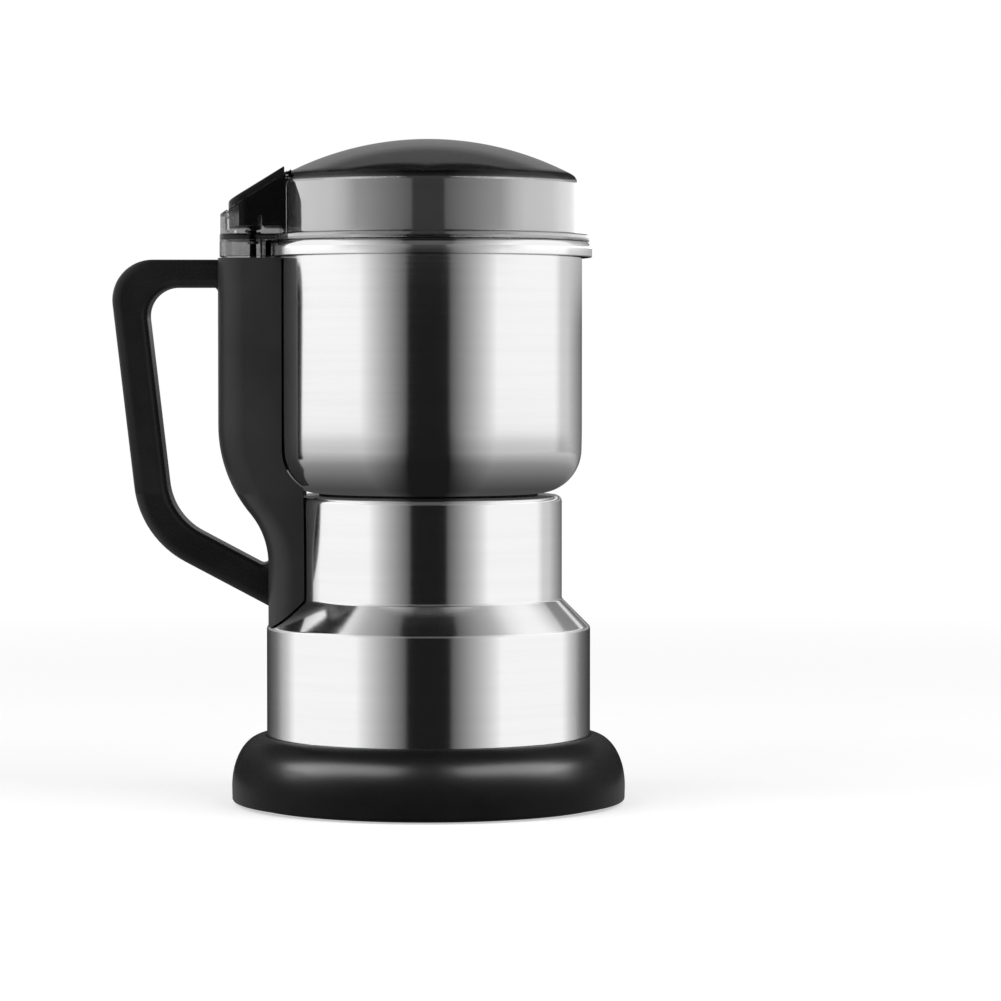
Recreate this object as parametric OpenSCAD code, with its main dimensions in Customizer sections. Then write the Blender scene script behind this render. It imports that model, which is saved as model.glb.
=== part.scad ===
// Electric coffee grinder: a stepped stainless motor body on a black foot, a stainless bowl,
// a smoked lid with a press button, and a black column with a grip loop.
// Millimetres. The motor axis is Z, the handle points along -X, and z = 0 is the table.

/* [Fits] */
// Gap between parts that slide or turn past each other
run_gap = 0.3; // [0.2:0.05:0.4]
// Gap round a part that is fitted in its seat
fit_gap = 0.05; // [0.02:0.01:0.1]
// Gap between the column and the steel it hugs
hug_gap = 0.4; // [0.3:0.05:0.6]
// Gap between the lid's collar and the bowl
lid_gap = 0.4; // [0.3:0.05:0.6]

/* [Foot] */
// Radius of the foot at its widest
foot_r = 59; // [57:0.5:64]
// Height of the foot from its lower edge to its top lip
foot_h = 19.6; // [18.5:0.1:22]
// Height of the straight band at the foot's lower edge
foot_band = 4.4; // [3.5:0.1:5.5]
// Wall of the foot
foot_wall = 3; // [2.5:0.1:3.5]
// How far the rubber ring stands below the foot
pad_h = 1; // [0.8:0.1:2]

/* [Body] */
// Radius of the wide lower body
base_r = 48.5; // [46.5:0.5:51]
// Radius of the neck below the bowl
body_r = 40; // [38.5:0.5:42]
// Height of the wide lower body above its seat in the foot
base_h = 35.5; // [33:0.5:42]
// Height of the neck above the shoulder
body_h = 31; // [29:0.5:38]
// Sheet thickness of the body
shell_t = 0.8; // [0.6:0.1:1.2]
// Radius of the neck's upper edge
shell_edge_r = 2; // [1.5:0.1:3]

/* [Bowl] */
// How far the bowl's wall stands in from the wide lower body
bowl_in = 2.5; // [0:0.5:4]
// Height of the bowl from its underside to its rim
bowl_h = 75.5; // [68:0.5:90]
// Radius of the bowl's lower corner
bowl_corner_r = 13.2; // [11:0.2:15]
// Sheet thickness of the bowl
bowl_t = 0.8; // [0.6:0.1:1.2]
// How far the turned-over rim stands out from the bowl
rim_out = 3; // [2.5:0.1:4]
// Height of the turned-over rim
rim_h = 5; // [4:0.1:6]
// Thickness of the gasket under the bowl
gasket_t = 0.5; // [0.4:0.1:1]

/* [Lid] */
// Height of the lid above the rim
lid_h = 30.3; // [29:0.1:36]
// Wall of the lid
lid_t = 2; // [1.6:0.1:2.4]
// Radius of the domed top
dome_r = 92.5; // [84:0.5:110]
// Radius of the corner between lid wall and dome
lid_corner_r = 5; // [3.5:0.1:6]
// How far the flange stops short of the rim's edge
flange_in = 0.8; // [0.4:0.1:1.4]
// Thickness of the flange
flange_t = 1.7; // [1.4:0.1:2.2]
// Depth of the collar inside the bowl
collar_h = 6.5; // [5:0.5:12]

/* [Tab and button] */
// Width of the tab over the column
tab_w = 34; // [32:0.5:38]
// How far the tab reaches out past the rim
tab_out = 13; // [12.5:0.1:15]
// Wall of the tab
tab_t = 1.6; // [1.4:0.1:2]
// Height of the tab's nose above the flange
tab_nose_h = 5.6; // [5:0.1:7]
// Slope of the tab's top
tab_slope = 31.6; // [29:0.2:33]
// How far the button stands above the tab
button_proud = 2.4; // [2.2:0.1:3.5]
// Travel of the button
button_travel = 2.2; // [1.6:0.1:2.4]
// Diameter of the stem below the button
stem_d = 2; // [1.6:0.1:2.2]
// Distance of the stem from the rim's edge
stem_off = 3.4; // [3.3:0.1:4]
// Wire of the button's spring
spring_wire = 0.7; // [0.5:0.1:0.8]
// Mean diameter of the button's spring
spring_d = 4.2; // [4:0.1:4.6]
// Turns of the button's spring
spring_turns = 6; // [5:1:6]

/* [Column] */
// How far the column reaches out past the rim
column_out = 13.5; // [13:0.1:16]
// Width of the column
column_w = 34; // [32:0.5:38]
// Wall of the column
column_t = 2.2; // [1.8:0.1:2.6]
// Radius of the column's outer corners
column_corner_r = 8; // [6:0.5:8]
// How much narrower each flank is where it meets the body
column_taper = 1.5; // [0.5:0.1:2.5]
// How far the column's foot stands out from the neck
column_foot_out = 7.7; // [7:0.1:7.8]
// Height of the column's straight foot above the shoulder
column_foot_h = 10.8; // [10:0.2:13]
// Height above the bowl's underside at which the column runs straight again
column_bend_h = 20.4; // [18:0.2:26]

/* [Grip] */
// Depth of the grip, front to back
grip_w = 19; // [16:0.5:22]
// How far the grip's upper outer corner stands off the column
grip_reach = 33; // [30:0.5:40]
// Lean of the grip's upright
grip_lean = 6.6; // [4:0.2:8]
// Slope of the grip's lower bar
grip_slope = 28; // [24:0.5:30]
// Thickness of the grip's top bar
grip_top_t = 8.2; // [7.5:0.1:9.5]
// Thickness of the grip's upright and lower bar
grip_t = 10; // [9:0.1:11.5]
// Radius of the grip's upper outer corner
grip_corner_r = 12; // [10:0.5:14]
// Radius of the grip's lower outer bend
grip_bend_r = 29; // [26:0.5:32]
// Edge radius of the grip
grip_edge_r = 3; // [2:0.1:3.5]

/* [Motor] */
// Diameter of the motor shaft
shaft_d = 6; // [5:0.5:6.5]
// Diameter of the armature
armature_d = 28; // [26:0.5:28]
// Height of the lamination stacks
stack_h = 22; // [18:0.5:24]
// Air gap between armature and stator
air_gap = 0.5; // [0.4:0.1:0.8]
// Length of the blade
blade_l = 76; // [66:1:80]
// Thickness of the blade
blade_t = 1.5; // [1.2:0.1:2]

/* [Hidden] */
$fn = 96;

// Screws, and gaps that are the same everywhere
m3_r = 1.5;
m3_head_r = 2.8;
m3_head_h = 1.8;
press_gap = 0.02;
hole_gap = 0.1;

// Levels from the table upwards
z_foot = pad_h;
z_foot_top = z_foot + foot_h;
seat_h = 3;
z_web = z_foot_top - seat_h;
z_shoulder = z_web + base_h;
z_neck = z_shoulder + base_r - body_r;
z_body = z_neck + body_h;
z_bowl = z_body + gasket_t;
z_floor = z_bowl + bowl_t;
z_rim = z_bowl + bowl_h;
z_flange = z_rim + flange_t;
z_apex = z_rim + lid_h;

// Foot and cover
lip_w = 1;
lip_r = base_r + lip_w;
z_band = z_foot + foot_band;
foot_a = foot_r - lip_r;
foot_b = z_foot_top - z_band;
foot_chamfer = 0.8;
seat_gap = 0.15;
web_t = 2.6;
cover_z = z_foot + 0.5;
cover_t = 2.5;
cover_top = cover_z + cover_t;
cover_r = foot_r - foot_wall - run_gap;
cover_head_h = 1.2;
cover_screw_l = 10;
ring_edge = 2.2;
ring_w = 5;
ring_out_r = cover_r - ring_edge;
ring_in_r = ring_out_r - ring_w;
ring_groove = 1.5;
boss_out_r = 4;
boss_r = ring_in_r - boss_out_r - 1;
shell_flange = 5.5;
flange_screw_r = base_r - shell_flange + 2.5;
cover_screw_a = 30;
shell_screw_a = 60;
web_in_r = min(boss_r, flange_screw_r) - 3;
vent_r = 16;
vent_l = 18;
vent_w = 3;
bush_bore_r = 3.2;
bush_r = 4.2;
bush_collar_r = 5.5;
bush_lip = 0.8;
bush_pad_r = bush_collar_r + hole_gap;
bush_z = cover_top + bush_pad_r + 0.2;
bush_out_y = foot_r + 1.5;
bush_seat_y = foot_r - foot_wall;
bush_pad_y = bush_seat_y - 4.5;
bush_in_y = bush_pad_y - 1.7;

// Bowl, lid and tab
bowl_r = base_r - bowl_in;
bowl_in_r = bowl_r - bowl_t;
rim_r = bowl_r + rim_out;
seal_r = 7.5;
lid_r = bowl_in_r - lid_gap;
flange_r = rim_r - flange_in;
dome_z = z_apex - dome_r;
corner_x = lid_r - lid_corner_r;
corner_z = dome_z + sqrt(pow(dome_r - lid_corner_r, 2) - pow(corner_x, 2));
corner_a = atan2(corner_z - dome_z, corner_x);
tab_x = rim_r + tab_out;
tab_half = tab_w / 2;
tab_corner_r = column_corner_r;
tab_lip = 2.5;
rib_t = 1;
stem_x = rim_r + stem_off;
button_x = tab_x - tab_lip - run_gap;
button_half = tab_half - tab_t - run_gap;
button_z = z_flange + button_travel + 0.2;
button_cap_t = 3.2;
button_corner_r = 4;
block_half = 3.4;
notch_off = 2.1;
notch_w = 1.2;
notch_h = 3;
spring_room = 9.7;
spring_seat_z = z_flange + spring_room;
spring_bore_r = spring_d / 2 + spring_wire / 2 + 0.6;
stem_grip_h = 3.4;
stem_top_z = spring_seat_z + stem_grip_h;
clip_t = 0.7;

// Column and grip
z_column = z_rim - rim_h - hug_gap;
column_x = rim_r + column_out;
column_half = column_w / 2;
column_foot_x = body_r + column_foot_out;
column_in_x = body_r - 12;
z_bend0 = z_neck + column_foot_h;
z_bend1 = z_bowl + column_bend_h;
bend_dx = column_x - column_foot_x;
bend_dz = z_bend1 - z_bend0;
bend_a = 2 * atan(bend_dx / bend_dz);
bend_r = bend_dz / sin(bend_a);
bend_r1 = bend_r * 0.64;
bend_r2 = bend_r - bend_r1;
cap_t = 2;
tongue_t = 2;
tongue_w = 15;
tongue_h = 17;
tongue_x = column_x - column_t - fit_gap;
grip_z = z_column - 0.4;
grip_end_z = z_shoulder + base_r - column_foot_x + 5.7;
grip_screw_hi = z_column - cap_t - m3_head_r - run_gap;
grip_screw_lo = grip_end_z + 6;
grip_screw_l = 10;
column_screw_z = z_neck + 5.5;
column_screw_y = 8;
column_boss_r = 3.5;
column_tip_x = column_foot_x - 3;
lead_hole_y = 8;
lead_hole_z = z_neck + 17.4;
lead_hole_r = 4.5;

// Switch
switch_t = 6.4;
switch_l = 19.8;
switch_h = 10;
switch_top = z_column - 5.2;
switch_screw_y = 4.75;
switch_screw_r = 1;
switch_screw_l = 9;
switch_post_r = 2.2;
switch_screw_z = switch_top - 6;
plunger_r = 1.2;
plunger_well = 5.5;
plunger_in = 2.8;
terminal_y = 6;
terminal_w = 4.8;
terminal_h = 4.5;
terminal_t = 0.8;
lead_r = 0.9;
lead_y = 7;
plunger_top = z_column - cap_t - 0.2;
stem_end_z = plunger_top + run_gap;

// Motor
shaft_r = shaft_d / 2;
shaft_below = 11.6;
thread_r = shaft_r - 0.5;
z_motor = z_body - shell_t;
stack_drop = 25.7;
z_stack1 = z_motor - stack_drop;
z_stack0 = z_stack1 - stack_h;
plate_t = 3;
plate_edge = 3;
plate_r = body_r - shell_t - plate_edge;
lower_plate_r = 35.5;
bearing_wall = 3;
bearing_r = shaft_r + bearing_wall;
hub_r = bearing_r + 3;
hub_h = 12.8;
upper_seat = 3.2;
upper_bearing_h = 9;
lower_seat = 3.8;
lower_bearing_h = 8;
bowl_post_r = 4;
bowl_post_h = 11.5;
bolt_in = 15;
bolt_head_h = 2.6;
air_hole_y = 22;
air_hole_r = 8;
pillar_r = 4.5;
bolt_x = 23;
bolt_y = 20;
bolt_r = 2;
screw_r = 2;
bowl_screw_r = 24;
bowl_screw_a = 90;
bowl_screw_l = 12;
bowl_head_r = 3.5;
bowl_head_h = 1.8;
cross_l = 4.4;
cross_w = 0.8;
seal_depth = 2.7;
z_blade = z_floor + 6.7;
z_thread = z_blade + blade_t + 7.5;
lower_drop = 20;
lower_z = z_stack0 - lower_drop;
commutator_r = 8;
commutator_z = lower_z + 3;
commutator_h = 9.6;
brush_z = commutator_z + 4.9;
brush_x0 = commutator_r + hole_gap;
brush_l = 10.4;
brush_x1 = brush_x0 + brush_l;
brush_end_x = 24;
brush_w = 5.7;
brush_h = 6.5;
brush_gap = 0.15;
brush_wall = 2;
brush_front_x = 9.6;
brush_spring_r = 1.7;
brush_wire = 0.5;
brush_turns = 4;
stator_w = 54;
stator_d = 48;
lead_in_x = stator_w / 2 + 4.5;
slot_gap = 0.8;
coil_w = 7.4;
coil_x = 20.2;
coil_y = 8.9;
coil_over = 4;
coil_bar_x = 18.5;
coil_bar_t = 4.2;
winding_r = armature_d / 2 - 1.6;
winding_top_h = 5.6;
winding_low_h = 6.4;
slot_w = 1.8;
slot_d = 6;
bar_gap = 0.5;
bar_d = 0.8;
fan_r = 22;
fan_drop = 18.5;
fan_disc_t = 1.2;
fan_h = 5;
vane_r = 12;
vane_t = 1.2;
blade_hub_r = 9;
blade_root = 4;
blade_twist = 9;
blade_rise = 7;
washer_r = 6;
washer_t = 0.8;
nut_r = 4.6;
nut_h = 4.2;
nut_cap_h = 3.6;

// Points on an arc, and on an ellipse
function arc(c, r, a0, a1, n) =
    [for (i = [0:n]) let (a = a0 + (a1 - a0) * i / n) [c.x + r * cos(a), c.y + r * sin(a)]];
function oval(c, rx, ry, a0, a1, n) =
    [for (i = [0:n]) let (a = a0 + (a1 - a0) * i / n) [c.x + rx * cos(a), c.y + ry * sin(a)]];
// Plan of a piece that reaches out to -face, with rounded outer corners
function d_plan(face, half, r, inner, taper) = concat(
    [[-inner, half - taper]],
    arc([-(face - r), half - r], r, 90, 180, 8),
    arc([-(face - r), -(half - r)], r, 180, 270, 8),
    [[-inner, -(half - taper)]]);
// Distance of the column's outer face from the axis at a height
function column_face(z) =
    z >= z_bend1 ? column_x :
    z <= z_bend0 ? column_foot_x :
    z >= z_bend1 - bend_r1 * sin(bend_a)
        ? column_x - bend_r1 + sqrt(pow(bend_r1, 2) - pow(z_bend1 - z, 2))
        : column_foot_x + bend_r2 - sqrt(pow(bend_r2, 2) - pow(z - z_bend0, 2));
function lift(points, z) = [for (p = points) [p.x, p.y, z]];
function unit(v) = v / norm(v);
// Height of the sloped top over a point at a distance from the axis
function slope_z(d) = z_flange + tab_nose_h + (tab_x - d) * tan(tab_slope);

// Solid skinned over rings that turn anticlockwise about the way they are stacked
module skin(rings) {
    n = len(rings[0]);
    m = len(rings);
    sides = [for (i = [0:m - 2], j = [0:n - 1], k = [0, 1])
        let (a = i * n + j, b = i * n + (j + 1) % n)
        k == 0 ? [a, a + n, b + n] : [a, b + n, b]];
    ends = [[for (j = [0:n - 1]) j], [for (j = [n - 1:-1:0]) (m - 1) * n + j]];
    polyhedron(points = [for (r = rings) each r], faces = concat(ends, sides));
}

// Rings of a round wire about a helix that climbs along Z from the origin
function helix_at(r, h, turns, t) = [r * cos(360 * turns * t), r * sin(360 * turns * t), h * t];
function helix_rings(r, h, turns, wire, sides) =
    [for (i = [0:turns * 8])
        let (t = i / (turns * 8), a = 360 * turns * t,
             e = [cos(a), sin(a), 0],
             w = unit([-sin(a) * r * 2 * PI * turns, cos(a) * r * 2 * PI * turns, h]),
             u = cross(w, e))
        [for (k = [0:sides - 1]) helix_at(r, h, turns, t)
            + wire / 2 * (cos(360 * k / sides) * e + sin(360 * k / sides) * u)]];
// Least gap of a wire to its own other turns, from points on its middle line
function helix_gap(r, h, turns, wire) = min([for (i = [0:turns * 8], j = [i + 5:turns * 8])
    norm(helix_at(r, h, turns, i / (turns * 8)) - helix_at(r, h, turns, j / (turns * 8)))]) - wire;

// Rings of a lead along chosen points, smoothed between them
function spline(p, i, t) =
    let (a = p[max(i - 1, 0)], b = p[i], c = p[i + 1], d = p[min(i + 2, len(p) - 1)])
    0.5 * (2 * b + (c - a) * t + (2 * a - 5 * b + 4 * c - d) * t * t + (3 * b - a - 3 * c + d) * t * t * t);
function smooth_path(p, n) = concat(
    [for (i = [0:len(p) - 2], k = [0:n - 1]) spline(p, i, k / n)], [p[len(p) - 1]]);
function tube_rings(p, r, sides) = [for (i = [0:len(p) - 1])
    let (w = unit(p[min(i + 1, len(p) - 1)] - p[max(i - 1, 0)]),
         e = unit(cross([0, 1, 0], w)), u = cross(w, e))
    [for (k = [0:sides - 1]) p[i] + r * (cos(360 * k / sides) * e + sin(360 * k / sides) * u)]];

// Space above the tab's sloped top, raised by an amount
module above_slope(rise) {
    translate([-tab_x, 0, z_flange + tab_nose_h + rise])
        rotate([0, -tab_slope, 0])
        translate([-20, -40, 0])
        cube([90, 80, 60]);
}

// Cylinder along X from a distance to a distance on the handle's side
module handle_bore(x0, x1, y, z, r) {
    translate([-x1, y, z])
        rotate([0, 90, 0])
        cylinder(r = r, h = x1 - x0);
}

// Three copies about the axis
module three(start) {
    for (i = [0:2])
        rotate(start + 120 * i)
        children();
}

// Foot

module foot_base() {
    inner_a = foot_a - foot_wall;
    inner_b = foot_b - foot_wall;
    top_a = asin((z_web - web_t - z_band) / inner_b);
    profile = concat(
        [[foot_r - foot_wall, z_foot], [foot_r - foot_chamfer, z_foot], [foot_r, z_foot + foot_chamfer]],
        oval([lip_r, z_band], foot_a, foot_b, 0, 90, 14),
        [[base_r + seat_gap, z_foot_top], [base_r + seat_gap, z_web]],
        [[web_in_r, z_web], [web_in_r, z_web - web_t]],
        oval([lip_r, z_band], inner_a, inner_b, top_a, 0, 8));
    color([0.03, 0.03, 0.032])
    difference() {
        union() {
            rotate_extrude() polygon(profile);
            three(cover_screw_a)
                translate([boss_r, 0, cover_top])
                cylinder(r = boss_out_r, h = z_web - web_t / 2 - cover_top);
            translate([0, bush_pad_y, bush_z])
                rotate([-90, 0, 0])
                cylinder(r = bush_pad_r, h = bush_seat_y - bush_pad_y);
        }
        three(cover_screw_a)
            translate([boss_r, 0, cover_top - 1])
            cylinder(r = m3_r + fit_gap, h = cover_screw_l + 0.5);
        three(shell_screw_a)
            translate([flange_screw_r, 0, z_web - web_t - 1])
            cylinder(r = m3_r + fit_gap, h = web_t + 2);
        translate([0, bush_in_y, bush_z])
            rotate([-90, 0, 0])
            cylinder(r = bush_r + fit_gap, h = 20);
        translate([0, bush_seat_y, bush_z])
            rotate([-90, 0, 0])
            cylinder(r = bush_collar_r + fit_gap, h = 20);
    }
}

module bottom_cover() {
    color([0.05, 0.05, 0.052])
    difference() {
        translate([0, 0, cover_z])
            cylinder(r = cover_r, h = cover_t);
        translate([0, 0, cover_z - 1])
            difference() {
                cylinder(r = ring_out_r + fit_gap, h = ring_groove + 1);
                translate([0, 0, -1])
                    cylinder(r = ring_in_r - fit_gap, h = ring_groove + 3);
            }
        three(cover_screw_a)
            translate([boss_r, 0, cover_z - 1])
            cylinder(r = m3_r + fit_gap, h = cover_t + 2);
        three(cover_screw_a)
            translate([boss_r, 0, cover_z - 1])
            cylinder(r = m3_head_r + fit_gap, h = cover_head_h + hole_gap + 1);
        for (i = [0:11])
            rotate(30 * i + 15)
            translate([vent_r, -vent_w / 2, cover_z - 1])
            cube([vent_l, vent_w, cover_t + 2]);
    }
}

module cover_screws() {
    color([0.6, 0.6, 0.62])
    three(cover_screw_a)
        translate([boss_r, 0, cover_z + hole_gap])
        union() {
            cylinder(r = m3_head_r, h = cover_head_h);
            cylinder(r = m3_r, h = cover_screw_l);
        }
}

module foot_ring() {
    color([0.02, 0.02, 0.02])
    difference() {
        cylinder(r = ring_out_r, h = cover_z + ring_groove);
        translate([0, 0, -1])
            cylinder(r = ring_in_r, h = cover_z + ring_groove + 2);
    }
}

module cord_bush() {
    color([0.02, 0.02, 0.02])
    translate([0, 0, bush_z])
    rotate([-90, 0, 0])
    difference() {
        union() {
            translate([0, 0, bush_in_y])
                cylinder(r = bush_r + bush_lip, h = bush_pad_y - bush_in_y);
            translate([0, 0, bush_in_y])
                cylinder(r = bush_r, h = bush_out_y - bush_in_y);
            translate([0, 0, bush_seat_y])
                cylinder(r = bush_collar_r, h = bush_out_y - bush_seat_y);
        }
        translate([0, 0, bush_in_y - 1])
            cylinder(r = bush_bore_r, h = bush_out_y - bush_in_y + 2);
    }
}

// Body and bowl

module body_shell() {
    k = shell_t * (sqrt(2) - 1);
    edge_x = body_r - shell_edge_r;
    edge_z = z_body - shell_edge_r;
    profile = concat(
        [[base_r - shell_flange, z_web], [base_r, z_web], [base_r, z_shoulder], [body_r, z_neck]],
        arc([edge_x, edge_z], shell_edge_r, 0, 90, 6),
        [[seal_r + 0.5, z_body], [seal_r + 0.5, z_motor]],
        arc([edge_x, edge_z], shell_edge_r - shell_t, 90, 0, 6),
        [[body_r - shell_t, z_neck - k], [base_r - shell_t, z_shoulder - k],
         [base_r - shell_t, z_web + shell_t], [base_r - shell_flange, z_web + shell_t]]);
    color([0.78, 0.78, 0.79])
    difference() {
        rotate_extrude() polygon(profile);
        three(shell_screw_a)
            translate([flange_screw_r, 0, z_web - 1])
            cylinder(r = m3_r + fit_gap, h = shell_t + 2);
        three(bowl_screw_a)
            translate([bowl_screw_r, 0, z_motor - 1])
            cylinder(r = screw_r + hole_gap, h = shell_t + 2);
        for (s = [-1, 1])
            handle_bore(body_r - 6, body_r + 2, s * column_screw_y, column_screw_z, m3_r + hole_gap);
        for (s = [-1, 1])
            handle_bore(body_r - 8, body_r + 2, s * lead_hole_y, lead_hole_z, lead_hole_r);
    }
}

module shell_screws() {
    color([0.6, 0.6, 0.62])
    three(shell_screw_a)
        translate([flange_screw_r, 0, z_web - web_t])
        union() {
            translate([0, 0, -m3_head_h])
                cylinder(r = m3_head_r, h = m3_head_h);
            translate([0, 0, -1])
                cylinder(r = m3_r, h = web_t + shell_t + 3);
        }
}

module bowl() {
    flat_r = bowl_r - bowl_corner_r;
    low_z = z_bowl + bowl_corner_r;
    lip_edge = 1.6;
    profile = concat(
        [[seal_r + hole_gap, z_bowl]],
        arc([flat_r, low_z], bowl_corner_r, -90, 0, 12),
        [[bowl_r, z_rim - bowl_t]],
        arc([rim_r - lip_edge, z_rim - lip_edge], lip_edge - bowl_t, 90, 0, 4),
        [[rim_r - bowl_t, z_rim - rim_h], [rim_r, z_rim - rim_h]],
        arc([rim_r - lip_edge, z_rim - lip_edge], lip_edge, 0, 90, 6),
        [[bowl_in_r + 0.3, z_rim], [bowl_in_r, z_rim - 0.3]],
        arc([flat_r, low_z], bowl_corner_r - bowl_t, 0, -90, 12),
        [[seal_r + hole_gap, z_floor]]);
    color([0.8, 0.8, 0.81])
    difference() {
        rotate_extrude() polygon(profile);
        three(bowl_screw_a)
            translate([bowl_screw_r, 0, z_bowl - 1])
            cylinder(r = screw_r + hole_gap, h = bowl_t + 2);
    }
}

module bowl_gasket() {
    color([0.03, 0.03, 0.03])
    difference() {
        translate([0, 0, z_body])
            cylinder(r = bowl_r - bowl_corner_r, h = gasket_t);
        translate([0, 0, z_body - 1])
            cylinder(r = seal_r + 4, h = gasket_t + 2);
        three(bowl_screw_a)
            translate([bowl_screw_r, 0, z_body - 1])
            cylinder(r = screw_r + 2 * hole_gap, h = gasket_t + 2);
    }
}

module bowl_screws() {
    color([0.72, 0.72, 0.73])
    three(bowl_screw_a)
        translate([bowl_screw_r, 0, z_floor])
        difference() {
            union() {
                cylinder(r = bowl_head_r, h = bowl_head_h);
                translate([0, 0, -bowl_screw_l])
                    cylinder(r = screw_r, h = bowl_screw_l + 1);
            }
            for (a = [0, 90])
                rotate(a)
                translate([-cross_l / 2, -cross_w / 2, bowl_head_h / 2])
                cube([cross_l, cross_w, bowl_head_h]);
        }
}

module shaft_seal() {
    color([0.04, 0.04, 0.04])
    difference() {
        union() {
            translate([0, 0, z_motor - seal_depth])
                cylinder(r = seal_r, h = z_floor - z_motor + seal_depth + 0.5);
            translate([0, 0, z_floor])
                cylinder(r1 = seal_r + 3.5, r2 = seal_r + 2.5, h = 1.4);
        }
        translate([0, 0, z_motor - 4])
            cylinder(r = shaft_r + hole_gap, h = 12);
    }
}

// Lid, tab and button

module tab_plan(inset) {
    polygon(d_plan(tab_x - inset, tab_half - inset, tab_corner_r - inset, lid_r - 12, 0));
}

module lid_cover() {
    profile = concat(
        [[lid_r, z_rim - collar_h], [lid_r, z_rim], [flange_r, z_rim], [flange_r, z_flange]],
        [[lid_r, z_flange]],
        arc([corner_x, corner_z], lid_corner_r, 0, corner_a, 6),
        [for (p = arc([0, dome_z], dome_r, corner_a, 90, 12)) if (p.x < dome_r * cos(corner_a) - 0.01) p],
        arc([0, dome_z], dome_r - lid_t, 90, corner_a, 12),
        [for (p = arc([corner_x, corner_z], lid_corner_r - lid_t, corner_a, 0, 6)) if (p.y < corner_z
            + (lid_corner_r - lid_t) * sin(corner_a) - 0.01) p],
        [[lid_r - lid_t, z_rim - collar_h]]);
    z_skirt = z_column + run_gap;
    color([0.16, 0.16, 0.17, 0.6])
    difference() {
        union() {
            rotate_extrude() polygon(profile);
            difference() {
                translate([0, 0, z_skirt])
                    linear_extrude(height = 30) tab_plan(0);
                above_slope(0);
                translate([0, 0, z_rim - 0.001])
                    cylinder(r = lid_r - lid_t / 2, h = 40);
                translate([0, 0, z_skirt - 1])
                    cylinder(r = rim_r + hug_gap, h = z_rim - z_skirt + 1);
            }
        }
        difference() {
            translate([0, 0, z_skirt - 1])
                linear_extrude(height = z_rim - z_skirt + 1) tab_plan(tab_t);
            translate([0, 0, z_skirt - 2])
                cylinder(r = rim_r + hug_gap + rib_t, h = 20);
        }
        difference() {
            translate([0, 0, z_flange])
                linear_extrude(height = 30) tab_plan(tab_t);
            above_slope(-tab_t);
            translate([0, 0, z_flange - 1])
                cylinder(r = lid_r, h = 40);
        }
        difference() {
            translate([-(tab_x - tab_lip), -(tab_half - tab_t), z_flange + 1])
                cube([tab_x - tab_lip - lid_r + 10, tab_w - 2 * tab_t, 30]);
            translate([0, 0, z_flange - 1])
                cylinder(r = lid_r, h = 40);
        }
        translate([-stem_x, 0, z_rim - 1])
            cylinder(r = stem_d / 2 + run_gap, h = flange_t + 2);
    }
}

module press_button() {
    color([0.025, 0.025, 0.027])
    difference() {
        translate([0, 0, button_z])
            linear_extrude(height = 30)
            polygon(d_plan(button_x, button_half, button_corner_r, lid_r - 12, 0));
        above_slope(button_proud);
        translate([0, 0, button_z - 1])
            cylinder(r = lid_r + run_gap, h = 40);
        difference() {
            translate([-(button_x + 5), -20, button_z - 1])
                cube([button_x + 5 - stem_x - block_half, 40, 30]);
            above_slope(button_proud - button_cap_t);
        }
        translate([notch_off - stem_x, -20, button_z - 1])
            cube([notch_w, 40, notch_h + 1]);
        translate([-stem_x, 0, button_z - 1])
            cylinder(r = spring_bore_r, h = spring_seat_z - button_z + 1);
        translate([-stem_x, 0, button_z])
            cylinder(r = stem_d / 2 + fit_gap, h = stem_top_z - button_z + 0.1);
    }
}

module button_stem() {
    color([0.1, 0.1, 0.1])
    translate([-stem_x, 0, stem_end_z])
        cylinder(r = stem_d / 2, h = stem_top_z - stem_end_z);
}

module stem_clip() {
    color([0.5, 0.5, 0.52])
    translate([-stem_x, 0, z_rim - run_gap - clip_t])
    difference() {
        cylinder(r = stem_d / 2 + clip_t, h = clip_t);
        translate([0, 0, -1])
            cylinder(r = stem_d / 2 + press_gap, h = clip_t + 2);
    }
}

module button_spring() {
    h = spring_seat_z - z_flange - spring_wire - 2 * fit_gap;
    echo(button_spring_least_gap = helix_gap(spring_d / 2, h, spring_turns, spring_wire));
    color([0.6, 0.6, 0.62])
    translate([-stem_x, 0, z_flange + spring_wire / 2 + fit_gap])
        skin(helix_rings(spring_d / 2, h, spring_turns, spring_wire, 6));
}

// Column and grip

module column_blank(inset, inner, z0, z1) {
    steps = 14;
    levels = concat([z0], [for (i = [0:steps]) z_bend0 + bend_dz * i / steps], [z1]);
    skin([for (z = levels) lift(d_plan(column_face(z) - inset, column_half - inset, column_corner_r - inset,
                                       inner, column_taper), z)]);
}

// Space taken by the steel that the column hugs
module steel_space() {
    g = hug_gap;
    flat_r = bowl_r - bowl_corner_r;
    k = g * (sqrt(2) - 1);
    a0 = -acos((body_r + g - flat_r) / (bowl_corner_r + g));
    rotate_extrude()
    polygon(concat(
        [[0, z_shoulder - 20], [base_r + g, z_shoulder - 20]],
        [[base_r + g, z_shoulder + k], [body_r + g, z_neck + k]],
        arc([flat_r, z_bowl + bowl_corner_r], bowl_corner_r + g, a0, 0, 8),
        [[bowl_r + g, z_column + 5], [0, z_column + 5]]));
}

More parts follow.
